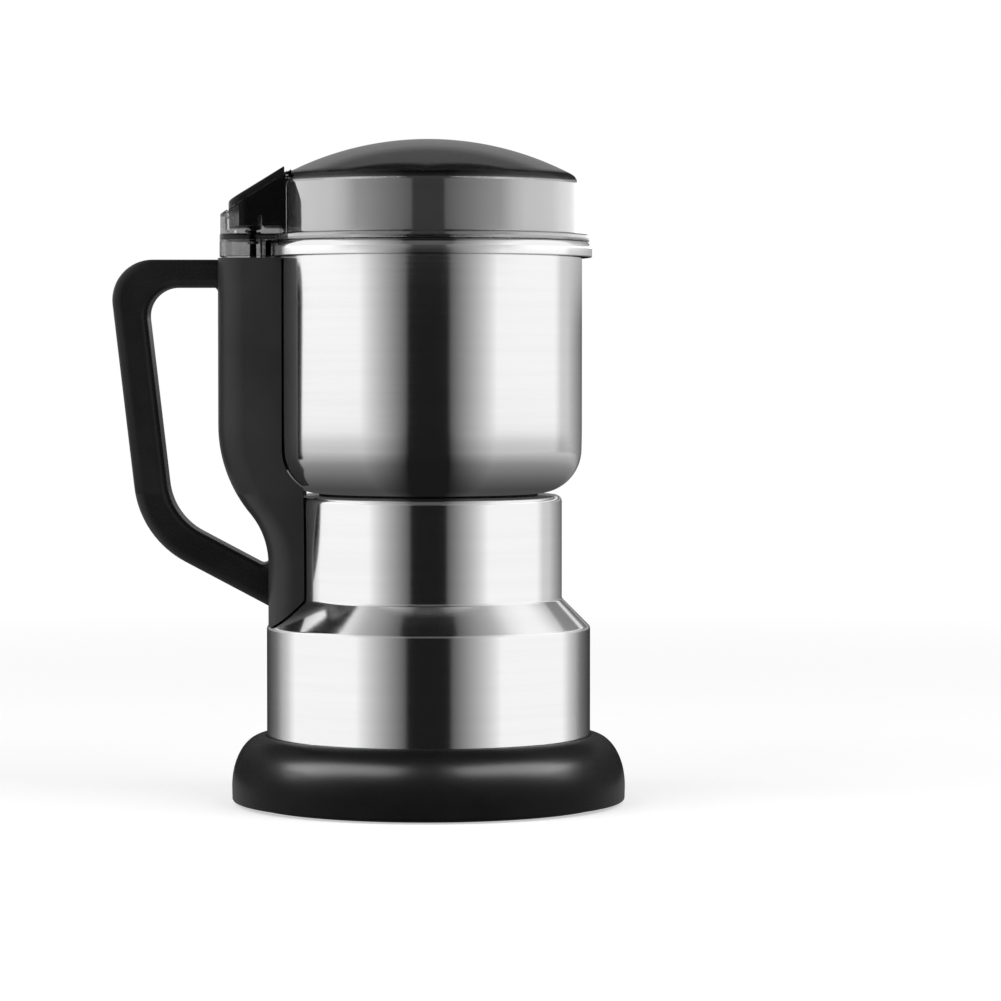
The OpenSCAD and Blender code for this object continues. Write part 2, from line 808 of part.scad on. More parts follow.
module handle_column() {
    color([0.03, 0.03, 0.032])
    difference() {
        union() {
            difference() {
                column_blank(0, column_in_x, z_shoulder, z_column);
                column_blank(column_t, column_in_x - 6, z_shoulder - 8, z_column + 3);
            }
            for (s = [-1, 1])
                handle_bore(body_r - 4, column_tip_x + 2, s * column_screw_y, column_screw_z, column_boss_r);
        }
        steel_space();
        for (s = [-1, 1])
            handle_bore(body_r - 6, column_tip_x + 1, s * column_screw_y, column_screw_z, m3_r + press_gap);
        handle_bore(column_x - 8, column_x + 4, 0, grip_screw_hi, m3_r + fit_gap);
        handle_bore(column_foot_x - 5, column_foot_x + 4, 0, grip_screw_lo, m3_r + fit_gap);
    }
}

module column_cap() {
    inset = column_t + fit_gap;
    post_x = stem_x + switch_t / 2;
    color([0.04, 0.04, 0.042])
    difference() {
        union() {
            translate([0, 0, z_column - cap_t])
                linear_extrude(height = cap_t)
                polygon(d_plan(column_x - inset, column_half - inset, column_corner_r - inset, column_in_x,
                               column_taper));
            translate([-tongue_x, -tongue_w / 2, z_column - tongue_h])
                cube([tongue_t, tongue_w, tongue_h - 1]);
            for (s = [-1, 1])
                handle_bore(post_x, tongue_x - 1, s * switch_screw_y, switch_screw_z, switch_post_r);
        }
        translate([0, 0, z_column - 5])
            cylinder(r = bowl_r + hug_gap, h = 10);
        translate([-stem_x, 0, z_column - 5])
            cylinder(r = stem_d / 2 + 0.4, h = 10);
        for (s = [-1, 1])
            handle_bore(post_x - 1, tongue_x - 0.4, s * switch_screw_y, switch_screw_z,
                        switch_screw_r + press_gap);
        handle_bore(tongue_x - tongue_t - 1, tongue_x + 1, 0, grip_screw_hi, m3_r + fit_gap);
    }
}

// Lines of the grip's outline as a point and a way, and where two of them meet
function meet(p, u, q, v) = p + u * ((q - p).x * v.y - (q - p).y * v.x) / (u.x * v.y - u.y * v.x);
// Corner between two lines, rounded to a radius
function rounded(p, u, v, r, n) =
    let (turn = acos(u * v), cut = r * tan(turn / 2), a = p - u * cut,
         s = sign(u.x * v.y - u.y * v.x), c = a + s * r * [-u.y, u.x],
         a0 = atan2((a - c).y, (a - c).x))
    [for (i = [0:n]) let (t = a0 + s * turn * i / n) c + r * [cos(t), sin(t)]];
// Outline of one edge of the grip, inset from the outer one
function grip_edge(top_in, side_in, corner_r, low_r) =
    let (u = [1, 0], v = [-sin(grip_lean), -cos(grip_lean)], w = [-cos(grip_slope), -sin(grip_slope)],
         p = [column_x, grip_z - top_in],
         q = [column_x + grip_reach, grip_z] + side_in * [-cos(grip_lean), sin(grip_lean)],
         e = [column_foot_x, grip_end_z + side_in / cos(grip_slope)],
         m1 = meet(p, u, q, v), m2 = meet(q, v, e, w))
    concat([p], rounded(m1, u, v, corner_r, 10), rounded(m2, v, w, low_r, 10), [e]);
// Section of the grip between a point on its outer edge and one on its inner edge
function grip_ring(a, b) =
    let (c = (a + b) / 2, e = (a - b) / 2, t = norm(e), u = e / t, h = grip_w / 2, r = grip_edge_r)
    [for (k = [[1, 1, 0], [-1, 1, 90], [-1, -1, 180], [1, -1, 270]], i = [0:4])
        let (n = k[2] + i * 22.5, d = k[0] * (t - r) + r * cos(n), y = k[1] * (h - r) + r * sin(n))
        [-(c + d * u).x, -y, (c + d * u).y]];

module handle_grip() {
    outer = grip_edge(0, 0, grip_corner_r, grip_bend_r);
    inner = [for (p = grip_edge(grip_top_t, grip_t, grip_corner_r - 3.5, grip_bend_r - grip_t)) p];
    color([0.03, 0.03, 0.032])
    difference() {
        skin([for (i = [0:len(outer) - 1]) grip_ring(outer[i], inner[i])]);
        handle_bore(column_x - 1, column_x + grip_screw_l - 1, 0, grip_screw_hi, m3_r + press_gap);
        handle_bore(column_foot_x - 1, column_foot_x + grip_screw_l - 1, 0, grip_screw_lo, m3_r + press_gap);
    }
}

// Pan-head screw that points along -X from a seat
module handle_screw(x, y, z, r, length, head_r, head_h) {
    translate([-x, y, z])
    rotate([0, -90, 0])
    union() {
        translate([0, 0, -head_h])
            cylinder(r = head_r, h = head_h);
        translate([0, 0, -head_h / 2])
            cylinder(r = r, h = length + head_h / 2);
    }
}

module grip_screws() {
    color([0.6, 0.6, 0.62]) {
        handle_screw(tongue_x - tongue_t, 0, grip_screw_hi, m3_r, grip_screw_l + 1, m3_head_r, m3_head_h);
        handle_screw(column_foot_x - column_t, 0, grip_screw_lo, m3_r, grip_screw_l, m3_head_r, m3_head_h);
    }
}

module column_screws() {
    seat = sqrt(pow(body_r - shell_t, 2) - pow(column_screw_y + m3_head_r, 2)) - press_gap;
    color([0.6, 0.6, 0.62])
    for (s = [-1, 1])
        handle_screw(seat, s * column_screw_y, column_screw_z,
                     m3_r, column_tip_x - seat, m3_head_r, m3_head_h);
}

// Interlock switch

module switch_body() {
    color([0.08, 0.08, 0.085])
    difference() {
        translate([-stem_x - switch_t / 2, -switch_l / 2, switch_top - switch_h])
            cube([switch_t, switch_l, switch_h]);
        translate([-stem_x, 0, switch_top - plunger_well])
            cylinder(r = plunger_r + hole_gap, h = plunger_well + 1);
        for (s = [-1, 1])
            handle_bore(stem_x - 5, stem_x + 5, s * switch_screw_y, switch_screw_z,
                        switch_screw_r + hole_gap);
    }
}

module switch_plunger() {
    color([0.6, 0.08, 0.06])
    translate([-stem_x, 0, switch_top - plunger_in])
        cylinder(r = plunger_r, h = plunger_top - switch_top + plunger_in);
}

module switch_terminals() {
    terminal_z = switch_top - switch_h - terminal_h;
    color([0.75, 0.6, 0.3])
    for (s = [-1, 1])
        translate([-stem_x - terminal_t / 2, s * terminal_y - terminal_w / 2, terminal_z])
        cube([terminal_t, terminal_w, terminal_h]);
}

module switch_screws() {
    color([0.7, 0.7, 0.72])
    for (s = [-1, 1])
        handle_screw(stem_x - switch_t / 2, s * switch_screw_y, switch_screw_z,
                     switch_screw_r, switch_screw_l, switch_screw_r + 0.8, switch_screw_r + 0.2);
}

module switch_leads() {
    top = switch_top - switch_h - terminal_h - hole_gap;
    entry = [[-stem_x, terminal_y, top], [-stem_x, terminal_y + 0.2, top - 10],
             [-stem_x, terminal_y + 0.5, z_bend1], [-bowl_r - 3.5, lead_y, z_bowl + 8],
             [-body_r - 5.5, lead_y, z_bowl - 3], [-body_r - 2.5, lead_y, lead_hole_z + 2.5],
             [-body_r + 2, lead_y, lead_hole_z - 0.5], [-body_r + 6.5, lead_y, lead_hole_z - 4],
             [-lead_in_x - 0.5, lead_y, z_stack1]];
    to_brush = [[-lead_in_x, lead_y - 1, z_stack0 + 6], [-lead_in_x + 1.5, 3, z_stack0 - 4],
                [-brush_end_x - 3.5, 1, brush_z + 1.5], [-brush_end_x - 1.4, 0.5, brush_z]];
    to_coil = [[-lead_in_x, -coil_y - 0.6, z_stack0 + 6], [-stator_w / 2 - 1, -coil_y - 2, z_stack0 - 1],
               [-coil_x - 4, -coil_y - 2, z_stack0 - 2], [-coil_x - 0.4, -coil_y - 2, z_stack0 - 2]];
    other_side = [for (p = entry) [p.x, -p.y, p.z]];
    color([0.1, 0.1, 0.35]) {
        skin(tube_rings(smooth_path(concat(entry, to_brush), 4), lead_r, 8));
        skin(tube_rings(smooth_path(concat(other_side, to_coil), 4), lead_r, 8));
    }
}

// Rotor

module motor_shaft() {
    color([0.62, 0.62, 0.64])
    union() {
        translate([0, 0, lower_z - shaft_below])
            cylinder(r = shaft_r, h = z_blade - lower_z + shaft_below);
        translate([0, 0, z_blade - 1])
            cylinder(r = thread_r, h = z_thread - z_blade + 1);
    }
}

module blade() {
    wing_l = blade_l / 2 - blade_root;
    color([0.75, 0.75, 0.76])
    translate([0, 0, z_blade])
    difference() {
        union() {
            cylinder(r = blade_hub_r, h = blade_t);
            for (a = [0, 180])
                rotate(a)
                translate([blade_root, 0, 0])
                rotate([blade_twist, -blade_rise, 0])
                linear_extrude(height = blade_t)
                polygon([[0, -5], [wing_l * 0.4, -6.5], [wing_l - 3, -6], [wing_l, -1],
                         [wing_l - 6, 6], [0, 5]]);
        }
        translate([0, 0, -3])
            cylinder(r = thread_r + fit_gap, h = blade_t + 6);
        translate([0, 0, -5])
            cylinder(r = shaft_r + 4, h = 5);
        translate([0, 0, blade_t])
            cylinder(r = washer_r + 1.5, h = 5);
    }
}

module blade_washer() {
    color([0.7, 0.7, 0.72])
    translate([0, 0, z_blade + blade_t])
    difference() {
        cylinder(r = washer_r, h = washer_t);
        translate([0, 0, -1])
            cylinder(r = thread_r + fit_gap, h = washer_t + 2);
    }
}

module blade_nut() {
    color([0.7, 0.7, 0.72])
    translate([0, 0, z_blade + blade_t + washer_t])
    difference() {
        union() {
            cylinder(r = nut_r, h = nut_h, $fn = 6);
            translate([0, 0, nut_h])
                cylinder(r1 = nut_r - 0.7, r2 = nut_r - 2.4, h = nut_cap_h);
        }
        translate([0, 0, -1])
            cylinder(r = thread_r + fit_gap, h = z_thread - z_blade - blade_t + 0.4);
    }
}

module armature_core() {
    color([0.35, 0.35, 0.37])
    translate([0, 0, z_stack0])
    difference() {
        cylinder(r = armature_d / 2, h = stack_h);
        translate([0, 0, -1])
            cylinder(r = shaft_r + press_gap, h = stack_h + 2);
        for (i = [0:11])
            rotate(30 * i)
            translate([armature_d / 2 - slot_d, -slot_w / 2, -1])
            cube([slot_d + 4, slot_w, stack_h + 2]);
    }
}

module end_winding(h) {
    difference() {
        cylinder(r = winding_r, h = h);
        translate([0, 0, -1])
            cylinder(r = shaft_r + 1.2, h = h + 2);
    }
}

module armature_windings() {
    color([0.6, 0.3, 0.12]) {
        translate([0, 0, z_stack1])
            end_winding(winding_top_h);
        translate([0, 0, z_stack0 - winding_low_h])
            end_winding(winding_low_h);
    }
}

module commutator() {
    color([0.72, 0.42, 0.2])
    translate([0, 0, commutator_z])
    difference() {
        cylinder(r = commutator_r, h = commutator_h);
        translate([0, 0, -1])
            cylinder(r = shaft_r + press_gap, h = commutator_h + 2);
        for (i = [0:11])
            rotate(30 * i)
            translate([commutator_r - bar_d, -bar_gap / 2, -1])
            cube([bar_d + 1, bar_gap, commutator_h + 2]);
    }
}

module cooling_fan() {
    color([0.12, 0.12, 0.13])
    translate([0, 0, z_motor - fan_drop])
    difference() {
        union() {
            cylinder(r = shaft_r + 3, h = fan_h - 0.5);
            cylinder(r = fan_r, h = fan_disc_t);
            for (i = [0:8])
                rotate(40 * i)
                translate([vane_r, -vane_t / 2, fan_disc_t / 2])
                cube([fan_r - vane_r - 0.4, vane_t, fan_h - fan_disc_t / 2]);
        }
        translate([0, 0, -1])
            cylinder(r = shaft_r + press_gap, h = fan_h + 2);
    }
}

// Motor frame

module stator_core() {
    slot_y = coil_y + coil_w + slot_gap;
    color([0.32, 0.32, 0.34])
    translate([0, 0, z_stack0])
    difference() {
        translate([-stator_w / 2, -stator_d / 2, 0])
            cube([stator_w, stator_d, stack_h]);
        translate([0, 0, -1])
            cylinder(r = armature_d / 2 + air_gap, h = stack_h + 2);
        for (s = [-1, 1])
            translate([s * (coil_x - coil_w / 2) - coil_w / 2 - slot_gap, -slot_y, -1])
            cube([coil_w + 2 * slot_gap, 2 * slot_y, stack_h + 2]);
        for (s = [-1, 1])
            translate([s * bolt_x, s * bolt_y, -1])
            cylinder(r = bolt_r + hole_gap, h = stack_h + 2);
    }
}

module field_coils() {
    color([0.62, 0.32, 0.13])
    for (s = [0, 180])
        rotate(s)
        translate([0, 0, z_stack0])
        union() {
            for (x = [-coil_x, coil_x - coil_w])
                translate([x, coil_y, -coil_over])
                cube([coil_w, coil_w, stack_h + 2 * coil_over]);
            for (z = [-coil_over, stack_h + run_gap])
                translate([-coil_bar_x, winding_r + 1, z])
                cube([2 * coil_bar_x, coil_bar_t, coil_over - run_gap]);
        }
}

module top_bracket() {
    color([0.6, 0.6, 0.61])
    difference() {
        union() {
            translate([0, 0, z_motor - plate_t])
                cylinder(r = plate_r, h = plate_t);
            translate([0, 0, z_motor - hub_h])
                cylinder(r = hub_r, h = hub_h - 1);
            for (s = [-1, 1])
                translate([s * bolt_x, s * bolt_y, z_stack1])
                cylinder(r = pillar_r, h = z_motor - z_stack1 - 1);
            three(bowl_screw_a)
                translate([bowl_screw_r, 0, z_motor - bowl_post_h])
                cylinder(r = bowl_post_r, h = bowl_post_h - 1);
        }
        translate([0, 0, z_motor - hub_h - 1])
            cylinder(r = shaft_r + 0.5, h = hub_h + 2);
        translate([0, 0, z_motor - hub_h - 1])
            cylinder(r = bearing_r + fit_gap, h = hub_h + 1 - upper_seat);
        translate([0, 0, z_motor - seal_depth])
            cylinder(r = seal_r + fit_gap, h = seal_depth + 1);
        for (s = [-1, 1])
            translate([s * bolt_x, s * bolt_y, z_stack1 - 1])
            cylinder(r = bolt_r + press_gap, h = bolt_in + 2);
        three(bowl_screw_a)
            translate([bowl_screw_r, 0, z_floor - bowl_screw_l - 0.2])
            cylinder(r = screw_r + press_gap, h = bowl_screw_l);
    }
}

module lower_bracket() {
    color([0.6, 0.6, 0.61])
    translate([0, 0, lower_z])
    difference() {
        union() {
            translate([0, 0, -plate_t])
                cylinder(r = lower_plate_r, h = plate_t);
            translate([0, 0, -hub_h])
                cylinder(r = hub_r, h = hub_h - 1);
            for (s = [-1, 1])
                translate([s * bolt_x, s * bolt_y, -1])
                cylinder(r = pillar_r, h = lower_drop + 1);
        }
        translate([0, 0, -hub_h - 1])
            cylinder(r = shaft_r + 0.5, h = hub_h + 2);
        translate([0, 0, -hub_h - 1])
            cylinder(r = bearing_r + fit_gap, h = hub_h + 1 - lower_seat);
        for (s = [-1, 1])
            translate([s * bolt_x, s * bolt_y, -plate_t - 1])
            cylinder(r = bolt_r + hole_gap, h = plate_t + lower_drop + 2);
        for (s = [-1, 1])
            translate([0, s * air_hole_y, -plate_t - 1])
            cylinder(r = air_hole_r, h = plate_t + 2);
    }
}

module sleeve(h) {
    difference() {
        cylinder(r = bearing_r, h = h);
        translate([0, 0, -1])
            cylinder(r = shaft_r + fit_gap, h = h + 2);
    }
}

module upper_bearing() {
    color([0.66, 0.48, 0.26])
    translate([0, 0, z_motor - upper_seat - hole_gap - upper_bearing_h])
        sleeve(upper_bearing_h);
}

module lower_bearing() {
    color([0.66, 0.48, 0.26])
    translate([0, 0, lower_z - lower_seat - 2 * hole_gap - lower_bearing_h])
        sleeve(lower_bearing_h);
}

module motor_bolts() {
    color([0.6, 0.6, 0.62])
    for (s = [-1, 1])
        translate([s * bolt_x, s * bolt_y, lower_z - plate_t])
        union() {
            translate([0, 0, -bolt_head_h])
                cylinder(r = bolt_r + 1.5, h = bolt_head_h);
            translate([0, 0, -1])
                cylinder(r = bolt_r, h = z_stack1 - lower_z + plate_t + bolt_in);
        }
}

module brush_holders() {
    channel_w = brush_w + 2 * brush_gap;
    color([0.7, 0.58, 0.3])
    for (a = [0, 180])
        rotate(a)
        difference() {
            translate([brush_front_x, -channel_w / 2 - brush_wall, lower_z])
                cube([brush_end_x + 1 - brush_front_x, channel_w + 2 * brush_wall,
                      commutator_z + commutator_h - lower_z - run_gap]);
            translate([brush_front_x - 1, -channel_w / 2, brush_z - brush_h / 2 - brush_gap])
                cube([brush_end_x - brush_front_x + 1, channel_w, brush_h + 2 * brush_gap]);
        }
}

module carbon_brushes() {
    color([0.1, 0.1, 0.1])
    for (a = [0, 180])
        rotate(a)
        translate([brush_x0, -brush_w / 2, brush_z - brush_h / 2])
        cube([brush_x1 - brush_x0, brush_w, brush_h]);
}

module brush_springs() {
    h = brush_end_x - brush_x1 - brush_wire - 2 * fit_gap;
    echo(brush_spring_least_gap = helix_gap(brush_spring_r, h, brush_turns, brush_wire));
    color([0.6, 0.6, 0.62])
    for (a = [0, 180])
        rotate(a)
        translate([brush_x1 + brush_wire / 2 + fit_gap, 0, brush_z])
        rotate([0, 90, 0])
        skin(helix_rings(brush_spring_r, h, brush_turns, brush_wire, 6));
}

foot_base();
bottom_cover();
cover_screws();
foot_ring();
cord_bush();
body_shell();
shell_screws();
bowl();
bowl_gasket();
bowl_screws();
shaft_seal();
lid_cover();
press_button();
button_stem();
stem_clip();
button_spring();
handle_column();
column_cap();
handle_grip();
grip_screws();
column_screws();
switch_body();
switch_plunger();
switch_terminals();
switch_screws();
switch_leads();
motor_shaft();
blade();
blade_washer();
blade_nut();
armature_core();
armature_windings();
commutator();
cooling_fan();
stator_core();
field_coils();
top_bracket();
lower_bracket();
upper_bearing();
lower_bearing();
motor_bolts();
brush_holders();
carbon_brushes();
brush_springs();
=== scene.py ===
import math

import bmesh
import bpy
from mathutils import Matrix, Vector


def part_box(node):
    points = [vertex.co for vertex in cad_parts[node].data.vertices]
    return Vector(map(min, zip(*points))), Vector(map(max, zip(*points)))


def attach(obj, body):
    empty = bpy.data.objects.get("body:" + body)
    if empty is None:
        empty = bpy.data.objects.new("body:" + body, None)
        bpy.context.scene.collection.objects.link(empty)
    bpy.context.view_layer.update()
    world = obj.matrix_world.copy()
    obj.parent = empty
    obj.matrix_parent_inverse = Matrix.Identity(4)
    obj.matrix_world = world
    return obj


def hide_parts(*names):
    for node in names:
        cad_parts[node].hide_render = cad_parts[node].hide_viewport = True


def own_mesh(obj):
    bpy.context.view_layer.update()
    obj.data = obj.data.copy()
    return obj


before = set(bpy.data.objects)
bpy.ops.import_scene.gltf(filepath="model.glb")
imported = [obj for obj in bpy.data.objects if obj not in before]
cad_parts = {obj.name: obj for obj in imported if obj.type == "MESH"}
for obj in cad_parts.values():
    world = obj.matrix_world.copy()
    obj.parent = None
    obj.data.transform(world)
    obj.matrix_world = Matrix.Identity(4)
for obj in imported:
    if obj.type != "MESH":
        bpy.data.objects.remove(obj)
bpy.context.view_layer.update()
mm = 0.001
hair = 0.02 * mm  # two places closer than this count as one
along = 0.99  # a direction with this share of an axis runs along it
quarterTurn = math.radians(90)
fullSteps = 180  # steps of a full turn about the upright axis
cornerSteps = 10  # faces round an upright corner
softTurn, crispTurn = 35, 30  # degrees up to which faces are shaded as one, the second after fine cuts
print("frame loaded with", len(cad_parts), "nodes")


def nodeBox(node):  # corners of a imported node, in millimetres
    low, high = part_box(node)
    return low / mm, high / mm


# modelling helpers

def startFresh():
    if bpy.context.mode != "OBJECT":
        bpy.ops.object.mode_set(mode="OBJECT")
    bpy.ops.object.select_all(action="DESELECT")


def takeUp(piece):
    startFresh()
    piece.select_set(True)
    bpy.context.view_layer.objects.active = piece


def pick(kind, test):  # in edit mode, select only what passes the test
    bpy.ops.mesh.select_mode(type=kind)
    bpy.ops.mesh.select_all(action="DESELECT")
    mesh = bmesh.from_edit_mesh(bpy.context.object.data)
    groups = {"VERT": mesh.verts, "EDGE": mesh.edges, "FACE": mesh.faces}
    for item in groups[kind]:
        if test(item):
            item.select_set(True)
    mesh.select_flush_mode()
    bmesh.update_edit_mesh(bpy.context.object.data)


def bakePlace():  # the object's place goes into its mesh
    bpy.ops.object.transform_apply(location=True, rotation=True, scale=True)


def closeUp(name, smooth=softTurn):  # merge doubles, turn faces out, shade and name
    bpy.ops.mesh.select_mode(type="VERT")
    bpy.ops.mesh.select_all(action="SELECT")
    bpy.ops.mesh.remove_doubles(threshold=hair / 4)
    bpy.ops.mesh.normals_make_consistent(inside=False)
    bpy.ops.object.mode_set(mode="OBJECT")
    bpy.ops.object.shade_smooth_by_angle(angle=math.radians(smooth))
    piece = bpy.context.object
    piece.name = name
    piece.data.name = name
    return piece


def reshade(piece):  # after cuts
    takeUp(piece)
    bpy.ops.object.shade_smooth_by_angle(angle=math.radians(crispTurn))


def drawLine(points, closed):  # a chain of edges through points in millimetres
    startFresh()
    places = [Vector(point) * mm for point in points]
    bpy.ops.mesh.primitive_plane_add(size=mm)
    bpy.ops.object.mode_set(mode="EDIT")
    bpy.ops.mesh.merge(type="CENTER")
    bpy.ops.transform.translate(value=places[0])
    for here, there in zip(places, places[1:]):
        bpy.ops.mesh.extrude_vertices_move(TRANSFORM_OT_translate={"value": there - here})
    if closed:
        ends = (places[0], places[-1])
        pick("VERT", lambda v: min((v.co - end).length for end in ends) < hair / 2)
        bpy.ops.mesh.edge_face_add()


def lathe(name, outline, closed=True, steps=fullSteps, smooth=softTurn):  # (radius, height) spun about Z
    drawLine([(radius, 0, height) for radius, height in outline], closed)
    bpy.ops.mesh.select_all(action="SELECT")
    bpy.ops.mesh.spin(steps=steps, angle=math.tau, center=(0, 0, 0), axis=(0, 0, 1))
    return closeUp(name, smooth)


def arc(centre, radii, first, last, steps):  # points on an oval, angles in degrees
    line = []
    for step in range(steps + 1):
        angle = math.radians(first + (last - first) * step / steps)
        line.append((centre[0] + radii[0] * math.cos(angle), centre[1] + radii[1] * math.sin(angle)))
    return line


def roundOff(corners, steps=6):  # (x, z), (x, z, radius) or (x, z, radius, steps) corners, closed
    line = []
    for place, corner in enumerate(corners):
        here = Vector(corner[:2])
        if len(corner) < 3:
            line.append(tuple(here))
            continue
        radius = corner[2]
        back = (Vector(corners[place - 1][:2]) - here).normalized()
        ahead = (Vector(corners[(place + 1) % len(corners)][:2]) - here).normalized()
        half = back.angle(ahead) / 2
        centre = here + (back + ahead).normalized() * radius / math.sin(half)
        start = here + back * radius / math.tan(half) - centre
        turn = math.degrees(math.pi - 2 * half)
        if back.x * ahead.y - back.y * ahead.x > 0:
            turn = -turn
        first = math.degrees(math.atan2(start.y, start.x))
        count = corner[3] if len(corner) > 3 else steps
        line += arc(centre, (radius, radius), first, first + turn, count)
    return line


def combine(piece, tool, operation="DIFFERENCE"):
    takeUp(piece)
    change = piece.modifiers.new("combine", "BOOLEAN")
    change.operation = operation
    change.solver = "EXACT"
    change.object = tool
    bpy.ops.object.modifier_apply(modifier=change.name)
    bpy.data.objects.remove(tool)


def rod(radius, start, end, sides=48):  # a straight cutter between two points
    startFresh()
    first, last = Vector(start) * mm, Vector(end) * mm
    way = last - first
    bpy.ops.mesh.primitive_cylinder_add(
        vertices=sides, radius=radius * mm, depth=way.length, location=(first + last) / 2,
        rotation=way.to_track_quat("Z", "Y").to_euler())
    bakePlace()
    return bpy.context.object


def post(radius, low, high):  # an upright cutter on the axis
    return rod(radius, (0, 0, low), (0, 0, high), fullSteps)


def block(name, low, high, slope=None, corner=0):
    # a box with an optional sloped top and rounded uprights on its -X side
    startFresh()
    low, high = Vector(low) * mm, Vector(high) * mm
    bpy.ops.mesh.primitive_cube_add(size=1, location=(low + high) / 2)
    bpy.context.object.scale = high - low
    bakePlace()
    bpy.ops.object.mode_set(mode="EDIT")
    if slope:
        bpy.ops.mesh.select_all(action="SELECT")
        bpy.ops.mesh.bisect(plane_co=slope["through"], plane_no=slope["facing"], use_fill=True,
                            clear_outer=True)
    if corner:
        pick("EDGE", lambda e: abs((e.verts[0].co - e.verts[1].co).normalized().z) > along
             and e.verts[0].co.x < low.x + hair)
        bpy.ops.mesh.bevel(offset=corner * mm, segments=cornerSteps, affect="EDGES")
    return closeUp(name)


def softenEdges(piece, width, segments, limit):  # rounds edges that turn by more than the limit
    takeUp(piece)
    change = piece.modifiers.new("soften", "BEVEL")
    change.width = width * mm
    change.segments = segments
    change.limit_method = "ANGLE"
    change.angle_limit = math.radians(limit)
    change.harden_normals = False
    bpy.ops.object.modifier_apply(modifier=change.name)


def evenShade(piece):  # broad faces keep their true direction beside a rounding
    takeUp(piece)
    change = piece.modifiers.new("evenShade", "WEIGHTED_NORMAL")
    change.mode = "FACE_AREA"
    change.keep_sharp = True
    bpy.ops.object.modifier_apply(modifier=change.name)


def settle(piece, body, slot, finish, *nodes):  # rides, stands for its nodes and gets its finish
    if not piece.data.materials:
        piece.data.materials.append(finish)
    evenShade(piece)
    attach(piece, body)
    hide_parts(*nodes)
    print("made", piece.name, "with", len(piece.data.polygons), "faces")


# finishes

noise = {"low": 0.3, "high": 0.7,  # nearly all of a noise lies between these
         "rough": 0.55, "deep": 0.3}  # weight of its fine marks, and a bump's depth for its size
evenly = (1, 1, 1)


def addNode(finish, kind, sockets=(), **settings):
    node = finish.node_tree.nodes.new("ShaderNode" + kind)
    for key, value in settings.items():
        setattr(node, key, value)
    for key, value in dict(sockets).items():
        if isinstance(value, bpy.types.NodeSocket):
            finish.node_tree.links.new(value, node.inputs[key])
        else:
            node.inputs[key].default_value = value
    return node


def grain(finish, size, stretch, detail=2.0):  # noise whose marks are about size mm
    place = addNode(finish, "TexCoord").outputs["Object"]
    scaled = addNode(finish, "Mapping", {
        "Vector": place, "Scale": [part / (size * mm) for part in stretch]})
    marks = addNode(finish, "TexNoise", {
        "Vector": scaled.outputs["Vector"], "Scale": 1.0, "Detail": detail, "Roughness": noise["rough"]})
    return marks.outputs[0]


def spread(finish, amount, low, high):  # noise turned into a range of values
    return addNode(finish, "MapRange", {
        "Value": amount, "From Min": noise["low"], "From Max": noise["high"],
        "To Min": low, "To Max": high}).outputs[0]


def tint(finish, amount, dark, light):  # noise turned into a range of colours
    ramp = addNode(finish, "ValToRGB", {"Fac": amount})
    ends = ((noise["low"], dark), (noise["high"], light))
    for spot, (where, colour) in zip(ramp.color_ramp.elements, ends):
        spot.position = where
        spot.color = (*colour, 1)
    return ramp.outputs["Color"]


def newFinish(name, look):
    finish = bpy.data.materials.new(name)
    finish.use_nodes = True
    shader = finish.node_tree.nodes["Principled BSDF"]
    for key, value in look.get("shader", {}).items():
        shader.inputs[key].default_value = value
    patch = grain(finish, look["patch"], look.get("patchStretch", evenly))
    fine = grain(finish, look["grain"], look.get("stretch", evenly), detail=3.0)
    links = finish.node_tree.links
    links.new(tint(finish, patch, look["dark"], look["light"]), shader.inputs["Base Color"])
    links.new(spread(finish, fine, *look["rough"]), shader.inputs["Roughness"])
    if look.get("bump"):
        bump = addNode(finish, "Bump", {
            "Height": fine, "Strength": look["bump"], "Distance": look["grain"] * mm * noise["deep"]})
        links.new(bump.outputs["Normal"], shader.inputs["Normal"])
    return finish


